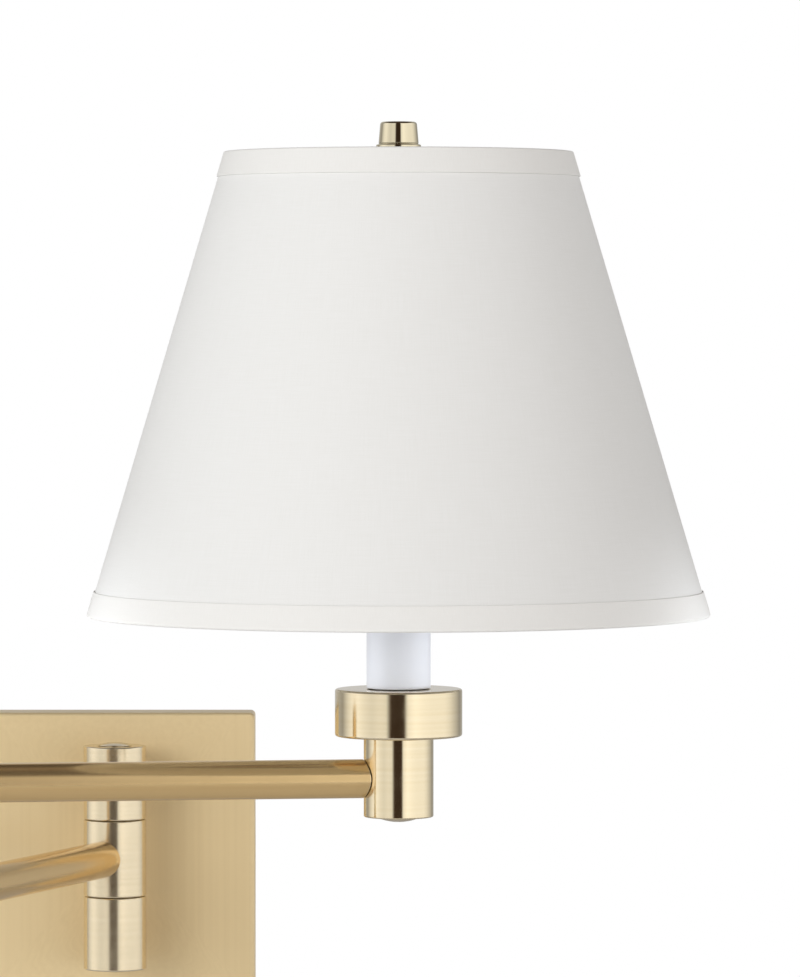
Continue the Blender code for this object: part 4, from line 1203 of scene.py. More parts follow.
@dataclass
class Swivels:
    """The post, the elbow and the two arm tubes."""

    nipple_hole: float = 0.0053
    plug_hole: float = 0.0063
    wire_hole: float = 0.0045
    collar_rounding: float = 0.0009
    groove_depth: float = 0.0012
    groove_floor: float = 0.0016
    groove_mouth: float = 0.0028

    def build_post(self) -> None:
        """The post's two fixed blocks, the turning sleeve between them, their caps and the hidden nipples."""
        upper, lower = extent("stem_upper").centre, extent("stem_lower").centre
        Barrel("post_block_upper", self.nipple_hole, self.plug_hole, POST_TURNED, (upper, STEM_HOLE)).build()
        Barrel("post_block_lower", self.plug_hole, self.nipple_hole, POST_TURNED, (lower, STEM_HOLE)).build()
        arm = extent("inner_arm_tube").centre
        Barrel("post_sleeve", self.nipple_hole, self.nipple_hole, POST_TURNED, (arm, self.wire_hole)).build()
        self.build_caps("post", POST_TURNED)
        for word in ("upper", "lower"):
            dress_solid(f"post_nipple_{word}", ZINC_SOLID)
            HexNut(f"post_nut_{word}", UPRIGHT, self.nipple_hole).build()

    def build_elbow(self) -> None:
        """The elbow's two barrels, their caps, and the nipple and nuts that hold them together."""
        inner, outer = extent("inner_arm_tube").centre, extent("outer_arm_tube").centre
        lower_hole, upper_hole = (inner, self.wire_hole), (outer, self.wire_hole)
        Barrel("elbow_barrel_lower", self.plug_hole, self.nipple_hole, SATIN_TURNED, lower_hole).build()
        Barrel("elbow_barrel_upper", self.nipple_hole, self.plug_hole, SATIN_TURNED, upper_hole).build()
        self.build_caps("elbow", SATIN_TURNED)
        dress_solid("elbow_nipple", ZINC_SOLID)
        for word in ("lower", "upper"):
            HexNut(f"elbow_nut_{word}", UPRIGHT, self.nipple_hole).build()

    def build_caps(self, stack: str, finish: MetalFinish) -> None:
        """The domed caps over and under a stack of barrels.

        Args:
            stack: "post" or "elbow".
            finish: What the caps are made of.
        """
        DomedCap(f"{stack}_cap_top", False, finish).build()
        DomedCap(f"{stack}_cap_bottom", True, finish).build()

    def build_collar(self) -> None:
        """The collar between the elbow's barrels, with a groove round its waist."""
        box = extent("elbow_collar")
        waist, groove = box.centre.z, box.radius - self.groove_depth
        corners = [
            Corner(self.nipple_hole, box.high.z),
            Corner(box.radius, box.high.z, self.collar_rounding),
            Corner(box.radius, waist + self.groove_mouth, 0.0006),
            Corner(groove, waist + self.groove_floor, 0.0008),
            Corner(groove, waist - self.groove_floor, 0.0008),
            Corner(box.radius, waist - self.groove_mouth, 0.0006),
            Corner(box.radius, box.low.z, self.collar_rounding),
            Corner(self.nipple_hole, box.low.z),
        ]
        collar = turned_piece("elbow_collar_turned", corners, standing(box.axis), closed=True)
        stand_for(collar, "elbow_collar", BRIGHT_TURNED)

    def build_arms(self) -> None:
        """The two arm tubes, each at the height of its own solid."""
        for word, start, end in (
            ("inner", "post_sleeve", "elbow_barrel_lower"),
            ("outer", "elbow_barrel_upper", "hub"),
        ):
            node = f"{word}_arm_tube"
            ArmTube(node, start, end, extent(node).centre.z).build()

    def build(self) -> None:
        """Build and dress the swivels and arms."""
        self.build_post()
        self.build_elbow()
        self.build_collar()
        self.build_arms()


# --- Lamp holder --------------------------------------------------------------------------------


@dataclass
class LampHolder:
    """The hub, the round cup on it, the candle sleeve and the pipe through them."""

    sheet: float = 0.0015
    cup_rounding: float = 0.0012
    pipe_hole: float = 0.0053
    plug_hole: float = 0.0063
    wire_hole: float = 0.0045
    candle_wall: float = 0.0014

    def build(self) -> None:
        """Build and dress the lamp holder, bottom to top."""
        arm = extent("outer_arm_tube").centre
        Barrel("hub", self.plug_hole, self.pipe_hole, BRIGHT_TURNED, (arm, self.wire_hole)).build()
        DomedCap("hub_cap", True, BRIGHT_TURNED).build()
        HexNut("pipe_nut", UPRIGHT, self.pipe_hole).build()
        dress_solid("stem_pipe", ZINC_SOLID)
        self.build_cup()
        self.build_disc("cup_plate")
        self.build_disc("sleeve_cap")
        self.build_candle()

    def build_cup(self) -> None:
        """The round cup: a spun dish, open below, with rounded shoulders."""
        box = extent("cup")
        inside = box.radius - self.sheet
        corners = [
            Corner(self.pipe_hole, box.high.z),
            Corner(box.radius, box.high.z, self.cup_rounding),
            Corner(box.radius, box.low.z, self.cup_rounding),
            Corner(inside, box.low.z),
            Corner(inside, box.high.z - self.sheet),
            Corner(self.pipe_hole, box.high.z - self.sheet),
        ]
        cup = turned_piece("cup_turned", corners, standing(box.axis), closed=True, steps=160)
        stand_for(cup, "cup", BRIGHT_TURNED)

    def build_disc(self, node: str) -> None:
        """A flat brass washer with softened edges where its plain solid lies.

        Args:
            node: The plain solid's name.
        """
        box = extent(node)
        corners = [
            Corner(self.pipe_hole, box.high.z),
            Corner(box.radius, box.high.z, 0.0004),
            Corner(box.radius, box.low.z, 0.0004),
            Corner(self.pipe_hole, box.low.z),
        ]
        disc = turned_piece(f"{node}_turned", corners, standing(box.axis), closed=True, steps=128)
        stand_for(disc, node, BRIGHT_TURNED)

    def build_candle(self) -> None:
        """The white sleeve over the pipe, with a soft rim at each end."""
        box = extent("candle_sleeve")
        bore = box.radius - self.candle_wall
        corners = [
            Corner(bore, box.high.z, 0.0005),
            Corner(box.radius, box.high.z, 0.0006),
            Corner(box.radius, box.low.z, 0.0004),
            Corner(bore, box.low.z, 0.0004),
        ]
        sleeve = turned_piece("candle_sleeve_moulded", corners, standing(box.axis), closed=True, steps=128)
        stand_for(sleeve, "candle_sleeve", CANDLE_WHITE)


@dataclass
class LampSocket:
    """The socket with its key, and the bulb in it."""

    sheet: float = 0.0012
    bead: float = 0.0007
    pipe_hole: float = 0.0053
    key_stem: float = 0.0144
    key_flare: float = 0.28
    key_tip: float = 0.14
    key_radius: float = 0.0016
    key_thinning: float = 0.0002
    key_rings: int = 60
    key_sides: int = 40
    ball_radius: float = 0.030
    ball_arc: float = math.radians(125)
    neck: float = 0.0126
    base_height: float = 0.022
    base_core: float = 0.0125
    contact_height: float = 0.004
    thread_pitch: float = 0.0036
    thread_depth: float = 0.0007

    def build_cap(self) -> None:
        """The socket's flared cap, open above, with a hole for the pipe in its foot."""
        box = extent("socket_cap")
        foot, seam = box.low.z, box.high.z
        corners = [
            Corner(box.radius - self.sheet, seam),
            Corner(box.radius, seam, 0.0004),
            Corner(0.0150, foot + 0.0040, 0.0040),
            Corner(0.0095, foot, 0.0015),
            Corner(self.pipe_hole, foot),
            Corner(self.pipe_hole, foot + self.sheet),
            Corner(0.0090, foot + self.sheet),
            Corner(0.0138, foot + 0.0052),
        ]
        cap = turned_piece("socket_cap_spun", corners, standing(box.axis), closed=True)
        stand_for(cap, "socket_cap", WIRE_BRASS)

    def build_shell(self) -> None:
        """The socket's shell, waisted between a rolled bead near its foot and a rolled mouth."""
        box = extent("socket_shell")
        inside = extent("socket_cap").radius - self.sheet
        low, high, outer, waist = box.low.z, box.high.z, box.radius, box.radius - self.bead
        corners = [
            Corner(inside, high, 0.0003),
            Corner(outer, high, 0.0005),
            Corner(outer, high - 0.002, 0.0006),
            Corner(waist, high - 0.003, 0.0008),
            Corner(waist, low + 0.005, 0.0008),
            Corner(outer, low + 0.004, 0.0006),
            Corner(outer, low, 0.0003),
            Corner(inside, low),
        ]
        shell = turned_piece("socket_shell_spun", corners, standing(box.axis), closed=True)
        stand_for(shell, "socket_shell", WIRE_BRASS)

    def build_key(self) -> None:
        """The turn key: a stem that flattens into a waisted paddle with a round tip.

        Ring i is an ellipse whose half-width and half-thickness follow smooth steps along the key.
        """
        box = extent("switch_key")
        length = box.high.y - box.low.y
        paddle = (box.high.z - box.low.z) / 2
        up = np.linspace(0.0, 1.0, self.key_rings) * length
        flare = np.clip((up - self.key_stem) / (length * self.key_flare), 0.0, 1.0)
        ease = flare * flare * (3 - 2 * flare)
        towards_tip = np.clip((up / length - 1 + self.key_tip) / self.key_tip, 0.0, 1.0)
        tip = np.sqrt(np.clip(1 - towards_tip**2, 0.0, 1.0))
        half_height = (self.key_radius + (paddle - self.key_radius) * ease) * (0.35 + 0.65 * tip)
        thickness = (self.key_radius - self.key_thinning * ease) * tip
        half_height[[0, -1]] = 0.0
        thickness[[0, -1]] = 0.0
        half_height[1] = thickness[1] = self.key_radius
        up[1] = 0.0
        angle = round_angles(self.key_sides)
        across = thickness[::-1, None] * np.cos(angle)
        along = half_height[::-1, None] * np.sin(angle)
        rings = np.stack([across, along, np.broadcast_to(up[::-1, None], across.shape)], axis=-1)
        foot = Vector((box.centre.x, box.high.y, box.centre.z))
        key = ringed_piece("switch_key_paddle", rings, False, standing(foot, OUTWARD))
        stand_for(key, "switch_key", PHENOLIC)

    def build_bulb(self) -> None:
        """The bulb: a ball that runs into its neck on a smooth curve, and a screw base with a rolled thread.

        The glass is an arc of the ball as far as it goes, then a cubic (Hermite) curve that leaves along the
        ball and arrives straight down at the neck.
        """
        box = extent("bulb")
        middle = box.high.z - self.ball_radius
        base_top = box.low.z + self.base_height
        arc = np.linspace(0.0, self.ball_arc, 60)
        globe = np.column_stack([self.ball_radius * np.sin(arc), middle + self.ball_radius * np.cos(arc)])
        start, foot = globe[-1], np.array([self.neck, base_top])
        leaving = (globe[-1] - globe[-2]) / np.linalg.norm(globe[-1] - globe[-2])
        pull = np.linalg.norm(foot - start) * 0.9
        share = np.linspace(0.0, 1.0, 30)[1:, None]
        curve = (
            (2 * share**3 - 3 * share**2 + 1) * start
            + (share**3 - 2 * share**2 + share) * leaving * pull
            + (3 * share**2 - 2 * share**3) * foot
            + (share**3 - share**2) * np.array([0.0, -1.0]) * pull
        )
        outline = np.vstack([globe, curve, [(0.0, base_top)]])
        glass = ringed_piece("bulb_glass", turned_rings(outline, 128), False, standing(box.axis))
        stand_for(glass, "bulb", FROSTED)
        self.build_screw_base(box.axis, box.low.z, base_top)

    def build_screw_base(self, axis: Vector, bottom: float, top: float) -> None:
        """The bulb's threaded base and its centre contact.

        The base's radius is the core's plus the thread's depth times the square of
        sin(pi * height / pitch + angle / 2), and the thread fades out near each end.

        Args:
            axis: Where the bulb's axis stands.
            bottom: The contact's lowest point.
            top: Where the base meets the glass.
        """
        angle = round_angles(ROUND_STEPS)
        up = np.linspace(top, bottom + self.contact_height, 90)
        fade = np.clip(np.minimum((top - up) / 0.003, (up - up[-1]) / 0.002), 0.0, 1.0)
        wave = np.sin(np.pi * up[:, None] / self.thread_pitch + angle / 2) ** 2
        thread = ringed(self.base_core + self.thread_depth * wave * fade[:, None], angle, up)
        head = turned_rings(np.array([(0.0, top), (self.base_core, top)]), ROUND_STEPS)
        button = np.array([(0.0060, 0.0012), (0.0046, 0.0003), (0.0030, 0.0), (0.0, 0.0)]) + (0.0, bottom)
        rings = np.vstack([head, thread, turned_rings(button, ROUND_STEPS)])
        stand_for(ringed_piece("bulb_base", rings, False, standing(axis)), "bulb", NICKEL)

    def build(self) -> None:
        """Build and dress the socket, its key and the bulb."""
        self.build_cap()
        self.build_shell()
        dress_solid("socket_body", PHENOLIC_SOLID)
        self.build_key()
        self.build_bulb()


@dataclass
class Harp:
    """The wire bow that carries the shade, with its saddle, ferrules and stud."""

    wire: float = 0.0018
    bow: tuple[tuple[float, float], ...] = (
        (0.024, 0.1718),
        (0.024, 0.1855),
        (0.024, 0.1995),
        (0.030, 0.2135),
        (0.045, 0.2335),
        (0.056, 0.2615),
        (0.053, 0.2955),
        (0.041, 0.3265),
        (0.022, 0.3475),
        (0.008, 0.3549),
    )
    crown: float = 0.3555
    seat: float = 0.3595
    ferrule_bore: float = 0.0024
    stud_core: float = 0.0026
    stud_depth: float = 0.0003
    stud_pitch: float = 0.0009
    stud_steps: int = 48

    def build(self) -> None:
        """Build and dress the harp: half the bow's route, mirrored over the crown, is swept by its wire."""
        axis = extent("hub").axis
        right = [(axis.x + across, axis.y, up) for across, up in self.bow]
        left = [(axis.x - across, axis.y, up) for across, up in reversed(self.bow)]
        path = smooth_path([*right, (axis.x, axis.y, self.crown), *left], per_span=12)
        stand_for(swept_piece("harp_wire", path, self.wire), "harp", WIRE_BRASS)
        dress_solid("harp_saddle", PLAIN_BRASS)
        for word in ("left", "right"):
            self.build_ferrule(f"ferrule_{word}")
        self.build_stud()

    def build_ferrule(self, node: str) -> None:
        """A sliding ferrule with a rolled bead at its foot for the fingers.

        Args:
            node: The plain solid's name.
        """
        box = extent(node)
        radius, low, high = box.radius, box.low.z, box.high.z
        neck = radius - 0.0005
        corners = [
            Corner(self.ferrule_bore, high),
            Corner(neck, high, 0.0003),
            Corner(neck, low + 0.0026, 0.0005),
            Corner(radius, low + 0.0020, 0.0003),
            Corner(radius, low, 0.0004),
            Corner(self.ferrule_bore, low),
        ]
        ferrule = turned_piece(f"{node}_rolled", corners, standing(box.axis), closed=True, steps=64)
        stand_for(ferrule, node, WIRE_BRASS)

    def build_stud(self) -> None:
        """The stud that the shade and finial sit on, with a rolled thread above its flange."""
        box = extent("harp_stud")
        steps = self.stud_steps
        angle = round_angles(steps)
        up = np.linspace(box.high.z - 0.0004, self.seat + 0.001, 110)
        wave = np.sin(np.pi * up[:, None] / self.stud_pitch + angle / 2) ** 2
        thread = ringed(self.stud_core + self.stud_depth * wave, angle, up)
        tip = turned_rings(np.array([(0.0, box.high.z), (0.0021, box.high.z)]), steps)
        flange_corners = [
            Corner(self.stud_core, self.seat + 0.0005),
            Corner(0.0030, self.seat),
            Corner(box.radius, self.seat, 0.0003),
            Corner(box.radius, box.low.z, 0.0003),
            Corner(0.0, box.low.z),
        ]
        flange, _ = rounded_outline(flange_corners, closed=False)
        rings = np.vstack([tip, thread, turned_rings(flange, steps)])
        stud = ringed_piece("harp_stud_threaded", rings, False, standing(box.axis))
        stand_for(stud, "harp_stud", WIRE_BRASS)


# --- Shade and finial ---------------------------------------------------------------------------


@dataclass
class Shade:
    """A hardback empire shade: liner, cloth, folded trims, lap seam, spider and lower ring."""

    trim_height: float = 0.0125
    trim_thick: float = 0.0006
    trim_tuck: float = 0.0085
    cloth_thick: float = 0.0005
    liner_thick: float = 0.0008
    seam_width: float = 0.0095
    seam_proud: float = 0.00045
    glue: float = 0.00025
    ring_wire: float = 0.0016
    ring_inset: float = 0.0050
    spider_arms: int = 3

    def __post_init__(self) -> None:
        """Read the cone from the trims' solids."""
        top, bottom = extent("shade_trim_top"), extent("shade_trim_bottom")
        self.axis = top.axis
        self.top, self.bottom = top.high.z, bottom.low.z
        self.bottom_radius = bottom.radius
        liner = extent("shade_liner")
        height = self.top - self.bottom
        # The upper trim's foot is wider than its top edge, so the cone's slope comes from both trims' boxes.
        wide_at = top.low.z
        self.slope = (self.bottom_radius - top.radius) / (wide_at - self.bottom)
        self.top_radius = self.bottom_radius - self.slope * height
        self.liner_low, self.liner_high = liner.low.z, liner.high.z

    def cone(self, height: np.ndarray | float) -> Any:
        """The outer radius at a height: the lower radius less the slope times the rise."""
        return self.bottom_radius - self.slope * (height - self.bottom)

    def shell(self, name: str, inset: float, thick: float, low: float, high: float) -> bpy.types.Object:
        """A slice of the cone's wall as a closed sheet, cloth-unwrapped in metres.

        Args:
            name: The piece's name.
            inset: How far its outer face lies in from the cone.
            thick: Its thickness.
            low: Its lower edge's height.
            high: Its upper edge's height.

        Returns:
            The new object.
        """
        up = np.linspace(high, low, 48)
        outer = np.column_stack([self.cone(up) - inset, up])
        inner = np.column_stack([self.cone(up[::-1]) - inset - thick, up[::-1]])
        outline = np.vstack([outer, inner])
        along = np.concatenate([high - up, high - up[::-1]])
        around = 2 * np.pi * float(self.cone((low + high) / 2))
        return ringed_piece(
            name, turned_rings(outline, SHADE_STEPS), True, standing(self.axis), unwrap=(around, along)
        )

    def build_walls(self) -> None:
        """The styrene liner and the cloth face on it."""
        cloth_inset = self.trim_thick + self.glue
        cloth = self.shell("shade_cloth_face", cloth_inset, self.cloth_thick, self.liner_low, self.liner_high)
        stand_for(cloth, "shade_fabric", SHADE_CLOTH)
        inset = cloth_inset + self.cloth_thick + self.glue
        liner = self.shell("shade_liner_sheet", inset, self.liner_thick, self.liner_low, self.liner_high)
        stand_for(liner, "shade_liner", STYRENE)
        self.build_seam()

    def build_seam(self) -> bpy.types.Object:
        """The lapped seam at the back: a thin strip down the cone with folded edges.

        A point at share s across the strip stands proud by a little times (1 - (2s - 1)^8), so it has a flat
        back and quickly rounded edges.

        Returns:
            The seam strip.
        """
        across = np.linspace(-1.0, 1.0, 17)
        up = np.linspace(self.liner_high - 0.0003, self.liner_low + 0.0003, 40)
        radius = (self.cone(up) - self.trim_thick - self.glue)[:, None]
        turn = math.pi / 2 + across * self.seam_width / 2 / radius
        front = ringed(radius + self.seam_proud * (1 - across**8), turn, up)
        back = ringed(radius - 0.0001, turn, up)
        loop = np.concatenate([front, back[:, ::-1]], axis=1)
        closing_top = np.repeat(loop[:1].mean(axis=1, keepdims=True), loop.shape[1], axis=1)
        closing_foot = np.repeat(loop[-1:].mean(axis=1, keepdims=True), loop.shape[1], axis=1)
        rings = np.vstack([closing_top, loop, closing_foot])
        along = np.concatenate([[0.0], self.liner_high - up, [self.liner_high - self.liner_low]])
        unwrap = (2 * self.seam_width, along)
        strip = ringed_piece("shade_lap_seam", rings, False, standing(self.axis), unwrap=unwrap)
        stand_for(strip, "shade_fabric", SHADE_CLOTH)
        return strip

    def build_trim(self, word: str) -> None:
        """A folded band over one edge: down the outside, over the edge and tucked up the inside.

        Args:
            word: "top" or "bottom".
        """
        node = f"shade_trim_{word}"
        into = -1 if word == "top" else 1
        edge = self.top if word == "top" else self.bottom
        outer_end = edge + into * self.trim_height
        inner_end = edge + into * self.trim_tuck
        thick = self.trim_thick
        tuck = 2 * thick + self.cloth_thick + self.liner_thick + 0.0008
        lip = edge + into * thick
        corners = [
            Corner(self.cone(outer_end), outer_end, 0.00025),
            Corner(self.cone(outer_end) - thick * 0.8, outer_end),
            Corner(self.cone(lip) - thick, lip),
            Corner(self.cone(lip) - tuck + thick, lip),
            Corner(self.cone(inner_end) - tuck + thick, inner_end),
            Corner(self.cone(inner_end) - tuck + 0.0001, inner_end, 0.0002),
            Corner(self.cone(edge) - tuck, edge, 0.0009),
            Corner(self.cone(edge), edge, 0.0011),
        ]
        if into < 0:
            corners.reverse()
        outline, _ = rounded_outline(corners, closed=True)
        steps = np.linalg.norm(np.diff(outline, axis=0, prepend=outline[:1]), axis=1)
        along = np.cumsum(steps)
        around = 2 * np.pi * float(self.cone(edge))
        rings = turned_rings(outline, SHADE_STEPS)
        band = ringed_piece(
            f"shade_trim_{word}_folded", rings, True, standing(self.axis), unwrap=(around, along)
        )
        stand_for(band, node, TRIM_CLOTH)

    def wire_ring(self, name: str, height: float) -> bpy.types.Object:
        """A round wire ring inside the liner: a circle of the wire's radius turned about the shade's axis.

        Args:
            name: The piece's name.
            height: Where it lies.

        Returns:
            The new object.
        """
        angle = -round_angles(20)
        radius = float(self.cone(height)) - self.ring_inset
        circle = np.column_stack([np.cos(angle), np.sin(angle)])
        outline = (radius, height) + self.ring_wire * circle
        return ringed_piece(name, turned_rings(outline, SHADE_STEPS), True, standing(self.axis))

    def build_frame(self) -> None:
        """The spider (ring, three arms and a washer) and the lower ring."""
        spider = extent("shade_spider")
        lower = extent("shade_bottom_ring")
        top_height = spider.high.z - self.ring_wire
        stand_for(self.wire_ring("spider_ring", top_height), "shade_spider", ZINC_PLATED)
        low_height = (lower.low.z + lower.high.z) / 2
        stand_for(self.wire_ring("lower_ring", low_height), "shade_bottom_ring", ZINC_PLATED)
        washer = (spider.low.z, spider.low.z + 0.0016)
        corners = [
            Corner(0.0035, washer[1], 0.0003),
            Corner(0.014, washer[1], 0.0004),
            Corner(0.014, washer[0], 0.0004),
            Corner(0.0035, washer[0], 0.0003),
        ]
        disc = turned_piece("spider_washer", corners, standing(self.axis), closed=True)
        stand_for(disc, "shade_spider", ZINC_PLATED)
        middle = sum(washer) / 2
        ring_radius = float(self.cone(top_height)) - self.ring_inset
        route = (
            (0.011, middle + 0.0012),
            (0.030, middle + 0.0016),
            (0.058, top_height - 0.0016),
            (ring_radius, top_height),
        )
        for arm in range(self.spider_arms):
            angle = math.pi / 2 + arm * 2 * math.pi / self.spider_arms
            way = Vector((math.cos(angle), math.sin(angle), 0.0))
            spots = [self.axis + way * out + Vector((0.0, 0.0, up)) for out, up in route]
            path = smooth_path(spots, per_span=12)
            wire = swept_piece(f"spider_arm_{arm + 1}", path, self.ring_wire * 0.95)
            stand_for(wire, "shade_spider", ZINC_PLATED)

    def build(self) -> None:
        """Build and dress the whole shade."""
        self.build_walls()
        for word in ("top", "bottom"):
            self.build_trim(word)
        self.build_frame()


@dataclass
class Finial:
    """The turned knob that holds the shade down."""

    bore: float = 0.0035
    neck: float = 0.0070

    def build(self) -> None:
        """Turn the knob: rounded top, sides that widen downwards, a cove, a rolled flange and a neck."""
        box = extent("finial")
        top, foot, flange = box.high.z, box.low.z, box.radius
        corners = [
            Corner(0.0, top),
            Corner(0.0091, top, 0.0015),
            Corner(0.0100, top - 0.0106, 0.0010),
            Corner(0.0098, top - 0.0111, 0.0003),
            Corner(flange, top - 0.0115, 0.0006),
            Corner(flange, top - 0.0135, 0.0006),
            Corner(self.neck, top - 0.0150, 0.0006),
            Corner(self.neck, foot, 0.0004),
            Corner(self.bore, foot),
            Corner(self.bore, foot + 0.0170),
            Corner(0.0, foot + 0.0170),
        ]
        knob = turned_piece("finial_knob", corners, standing(box.axis), steps=160)
        stand_for(knob, "finial", MIRROR_BRASS)


@dataclass
class Leads:
    """The two-core lead: a fine piece behind the plate, and its plain solids inside the arms."""

    radius: float = 0.0015
    base_route: tuple[tuple[float, float, float], ...] = (
        (-0.016, -0.005, 0.004),
        (-0.015, -0.010, 0.016),
        (-0.007, -0.012, 0.031),
        (0.0, -0.0165, 0.040),
        (0.0, -0.022, 0.040),
        (0.0, -0.034, 0.040),
        (0.0, -0.044, 0.0397),
        (0.0, -0.0505, 0.036),
        (0.0, -0.052, 0.028),
        (0.0, -0.052, 0.010),
    )

    def build(self) -> None:
        """Build and dress the leads."""
        path = smooth_path(self.base_route, per_span=10)
        stand_for(swept_piece("lead_base_cable", path, self.radius, 16), "lead_base", LEAD_RUBBER)
        dress_solid("lead_inner", LEAD_SOLID)
        dress_solid("lead_outer", LEAD_SOLID)


# --- Studio -------------------------------------------------------------------------------------


@dataclass
class Studio:
    """The camera, the soft light all round, two soft lamps and a pale floor."""

    distance: float = 2.838
    eye_height: float = 0.2880
    eye_offset: float = 0.0007
    lens: float = 209.15
    dip_degrees: float = 1.711
    floor_height: float = -0.42
    floor_radius: float = 2.5
    dim_tint: tuple[float, float, float, float] = (1.0, 0.60, 0.36, 1.0)
    white_from: float = 0.30
    around: tuple[tuple[float, float], ...] = (
        (-180, 0.60), (-150, 0.50), (-122, 0.34), (-104, 0.80), (-92, 1.02), (-78, 1.06), (-64, 0.90),
        (-50, 0.80), (-34, 0.88), (-22, 0.84), (-18, 0.35), (-14, 0.035), (0, 0.03), (10, 0.035), (13, 0.45),
        (16, 0.98), (30, 1.18), (45, 1.08), (62, 1.02), (92, 1.00), (106, 0.86), (118, 0.66), (144, 0.30),
        (162, 0.42), (180, 0.60),
    )
    box_share: tuple[tuple[float, float], ...] = (
        (-90, 0.0), (-62, 0.12), (-45, 0.5), (-30, 0.9), (-12, 1.0), (28, 1.0), (36, 0.74), (46, 0.12),
        (54, 0.0), (90, 0.0),
    )
    sky: tuple[tuple[float, float], ...] = (
        (-90, 0.80), (-62, 0.70), (-45, 0.42), (-30, 0.08), (0, 0.0), (42, 0.02), (56, 0.03), (72, 0.04),
        (84, 0.12), (90, 0.20),
    )

    @staticmethod
    def ramp(tree: bpy.types.NodeTree, angle: Any, span: float, stops: Sequence[tuple[float, float]]) -> Any:
        """A brightness that follows an angle.

        Args:
            tree: The world's node tree.
            angle: The angle's socket, in radians, from -span to span.
            span: Half the angle's range, in radians.
            stops: Pairs of degrees and brightness, at most half of the ramp's full scale of 2.

        Returns:
            The brightness socket.
        """
        made = put(tree, "ShaderNodeValToRGB", {0: spread(tree, angle, (-span, span))})
        scale = 2.0
        reach = math.degrees(span)
        while len(made.color_ramp.elements) > 1:
            made.color_ramp.elements.remove(made.color_ramp.elements[-1])
        for index, (degrees, light) in enumerate(stops):
            at = (degrees + reach) / (2 * reach)
            stop = made.color_ramp.elements[0] if index == 0 else made.color_ramp.elements.new(at)
            stop.position = at
            stop.color = (light / scale, light / scale, light / scale, 1.0)
        return maths(tree, "MULTIPLY", made.outputs[0], scale)

    def build_world(self) -> None:
        """Soft boxes left and right, a dark gap towards the camera, a darker ceiling and a white sweep below.

        The light from a direction is around(azimuth) * box_share(elevation) + sky(elevation), and the camera
        itself sees plain white.
        """
        world = bpy.data.worlds.new("studio")
        bpy.context.scene.world = world
        world.use_nodes = True
        tree = world.node_tree
        tree.nodes.clear()
        way = put(tree, "ShaderNodeTexCoord").outputs["Generated"]
        parts = put(tree, "ShaderNodeSeparateXYZ", {0: way})
        towards_eye = maths(tree, "MULTIPLY", parts.outputs[1], -1.0)
        azimuth = maths(tree, "ARCTAN2", parts.outputs[0], towards_eye)
        elevation = maths(tree, "ARCSINE", parts.outputs[2])
        boxes = self.ramp(tree, azimuth, math.pi, self.around)
        share = self.ramp(tree, elevation, math.pi / 2, self.box_share)
        sky = self.ramp(tree, elevation, math.pi / 2, self.sky)
        lit = maths(tree, "ADD", maths(tree, "MULTIPLY", boxes, share), sky)
        seen = put(tree, "ShaderNodeLightPath").outputs["Is Camera Ray"]
        shown = put(tree, "ShaderNodeMix", {0: seen, 2: lit, 3: 1.0}, data_type="FLOAT").outputs[0]
        tint = put(tree, "ShaderNodeValToRGB", {0: shown})
        tint.color_ramp.elements[0].color = self.dim_tint
        tint.color_ramp.elements[1].color = (1.0, 1.0, 1.0, 1.0)
        tint.color_ramp.elements[1].position = self.white_from
        back = put(tree, "ShaderNodeBackground", {"Strength": shown, "Color": tint.outputs[0]})
        end = put(tree, "ShaderNodeOutputWorld")
        tree.links.new(back.outputs[0], end.inputs[0])

    def build_lamp(
        self,
        name: str,
        place: Vector,
        aim: Vector,
        size: float,
        watts: float,
        colour: tuple[float, float, float],
        spread_angle: float = math.pi,
    ) -> None:
        """A soft lamp that lights but isn't mirrored.

        Args:
            name: Its name.
            place: Where it stands.
            aim: What it points at.
            size: Its side.
            watts: Its power.
            colour: Its light's colour.
            spread_angle: How wide its beam opens, in radians.
        """
        light = bpy.data.lights.new(name, "AREA")
        light.color = colour
        light.spread = spread_angle
        light.size = size
        light.energy = watts
        lamp = bpy.data.objects.new(name, light)
        lamp.location = place
        lamp.rotation_euler = (aim - place).to_track_quat("-Z", "Y").to_euler()
        lamp.visible_glossy = False
        lamp.visible_camera = False
        bpy.context.scene.collection.objects.link(lamp)

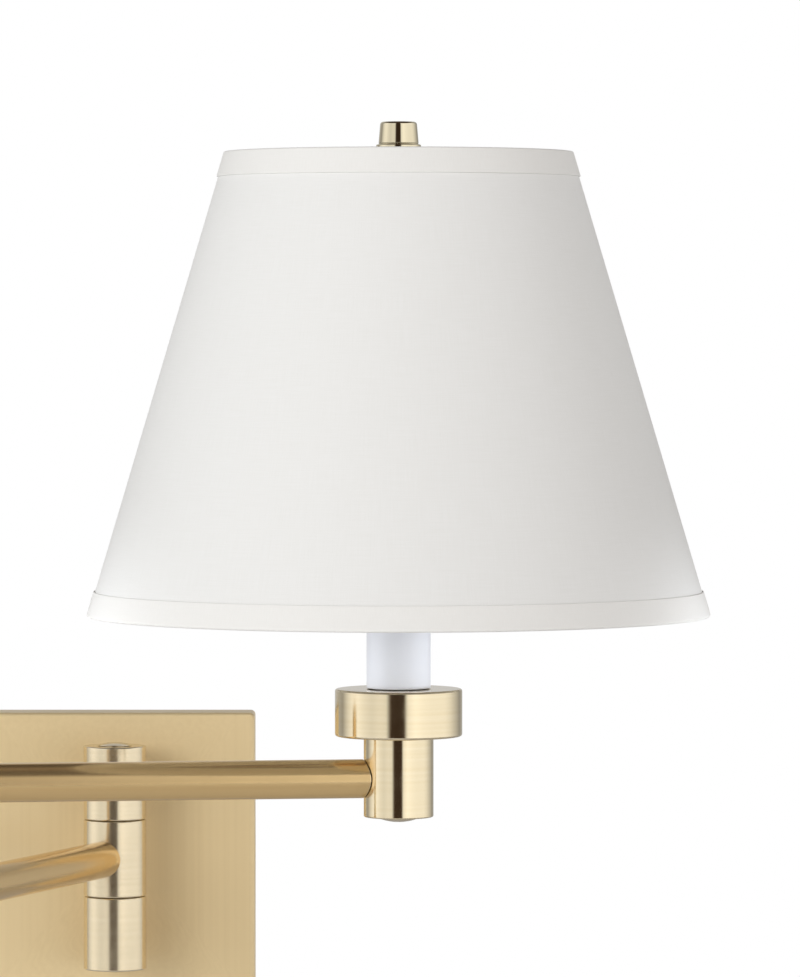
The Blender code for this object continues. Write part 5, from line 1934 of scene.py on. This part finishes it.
    def build_floor(self, middle: Vector) -> None:
        """A pale round floor well below the lamp that fades out at its rim and can't be seen from below.

        Ring i lies at radius i of the disc.

        Args:
            middle: The point above the disc's middle.
        """
        reach = np.linspace(0.0, self.floor_radius, 24)
        outline = np.column_stack([reach, np.zeros_like(reach)])
        place = Matrix.Translation((middle.x, middle.y, self.floor_height))
        floor = ringed_piece("studio_floor", turned_rings(outline, 64), False, place)
        paper = FloorFinish("floor_paper", self.floor_radius * 0.35, self.floor_radius * 0.97)
        floor.data.materials.append(paper.material())

    def build(self) -> None:
        """Set up the camera, the light and the floor."""
        hub = extent("hub").axis
        scene = bpy.context.scene
        scene.view_settings.view_transform = "Standard"
        data = bpy.data.cameras.new("camera")
        data.lens = self.lens
        data.sensor_width = 36.0
        data.clip_end = 50.0
        camera = bpy.data.objects.new("camera", data)
        camera.location = (hub.x + self.eye_offset, hub.y - self.distance, self.eye_height)
        camera.rotation_euler = (math.radians(90 - self.dip_degrees), 0.0, 0.0)
        scene.collection.objects.link(camera)
        scene.camera = camera
        self.build_world()
        aim = hub + Vector((0.0, 0.0, 0.2))
        self.build_lamp("key_lamp", aim + Vector((-1.5, -2.0, 0.5)), aim, 1.2, 27.5, (1.0, 1.0, 1.0))
        self.build_lamp("fill_lamp", aim + Vector((1.9, -1.6, 0.3)), aim, 1.4, 4.5, (1.0, 0.86, 0.78))
        sleeve = extent("candle_sleeve")
        low = sleeve.axis + Vector((0.0, 0.0, sleeve.low.z))
        cool, beam = (0.90, 0.94, 1.0), math.radians(24)
        for word, side, watts in (("left", -0.50, 0.021), ("right", 0.50, 0.027)):
            place = low + Vector((side, -0.16, -0.03))
            self.build_lamp(f"sleeve_lamp_{word}", place, low, 0.06, watts, cool, beam)
        self.build_floor(aim)


def main() -> None:
    """Build every sub-assembly in order, then the studio."""
    logging.basicConfig(level=logging.INFO, format="%(name)s: %(message)s")
    for assembly in (
        WallPlate(),
        Swivels(),
        LampHolder(),
        LampSocket(),
        Harp(),
        Shade(),
        Finial(),
        Leads(),
        Studio(),
    ):
        LOG.info("building %s", type(assembly).__name__)
        assembly.build()


if __name__ == "__main__":
    main()
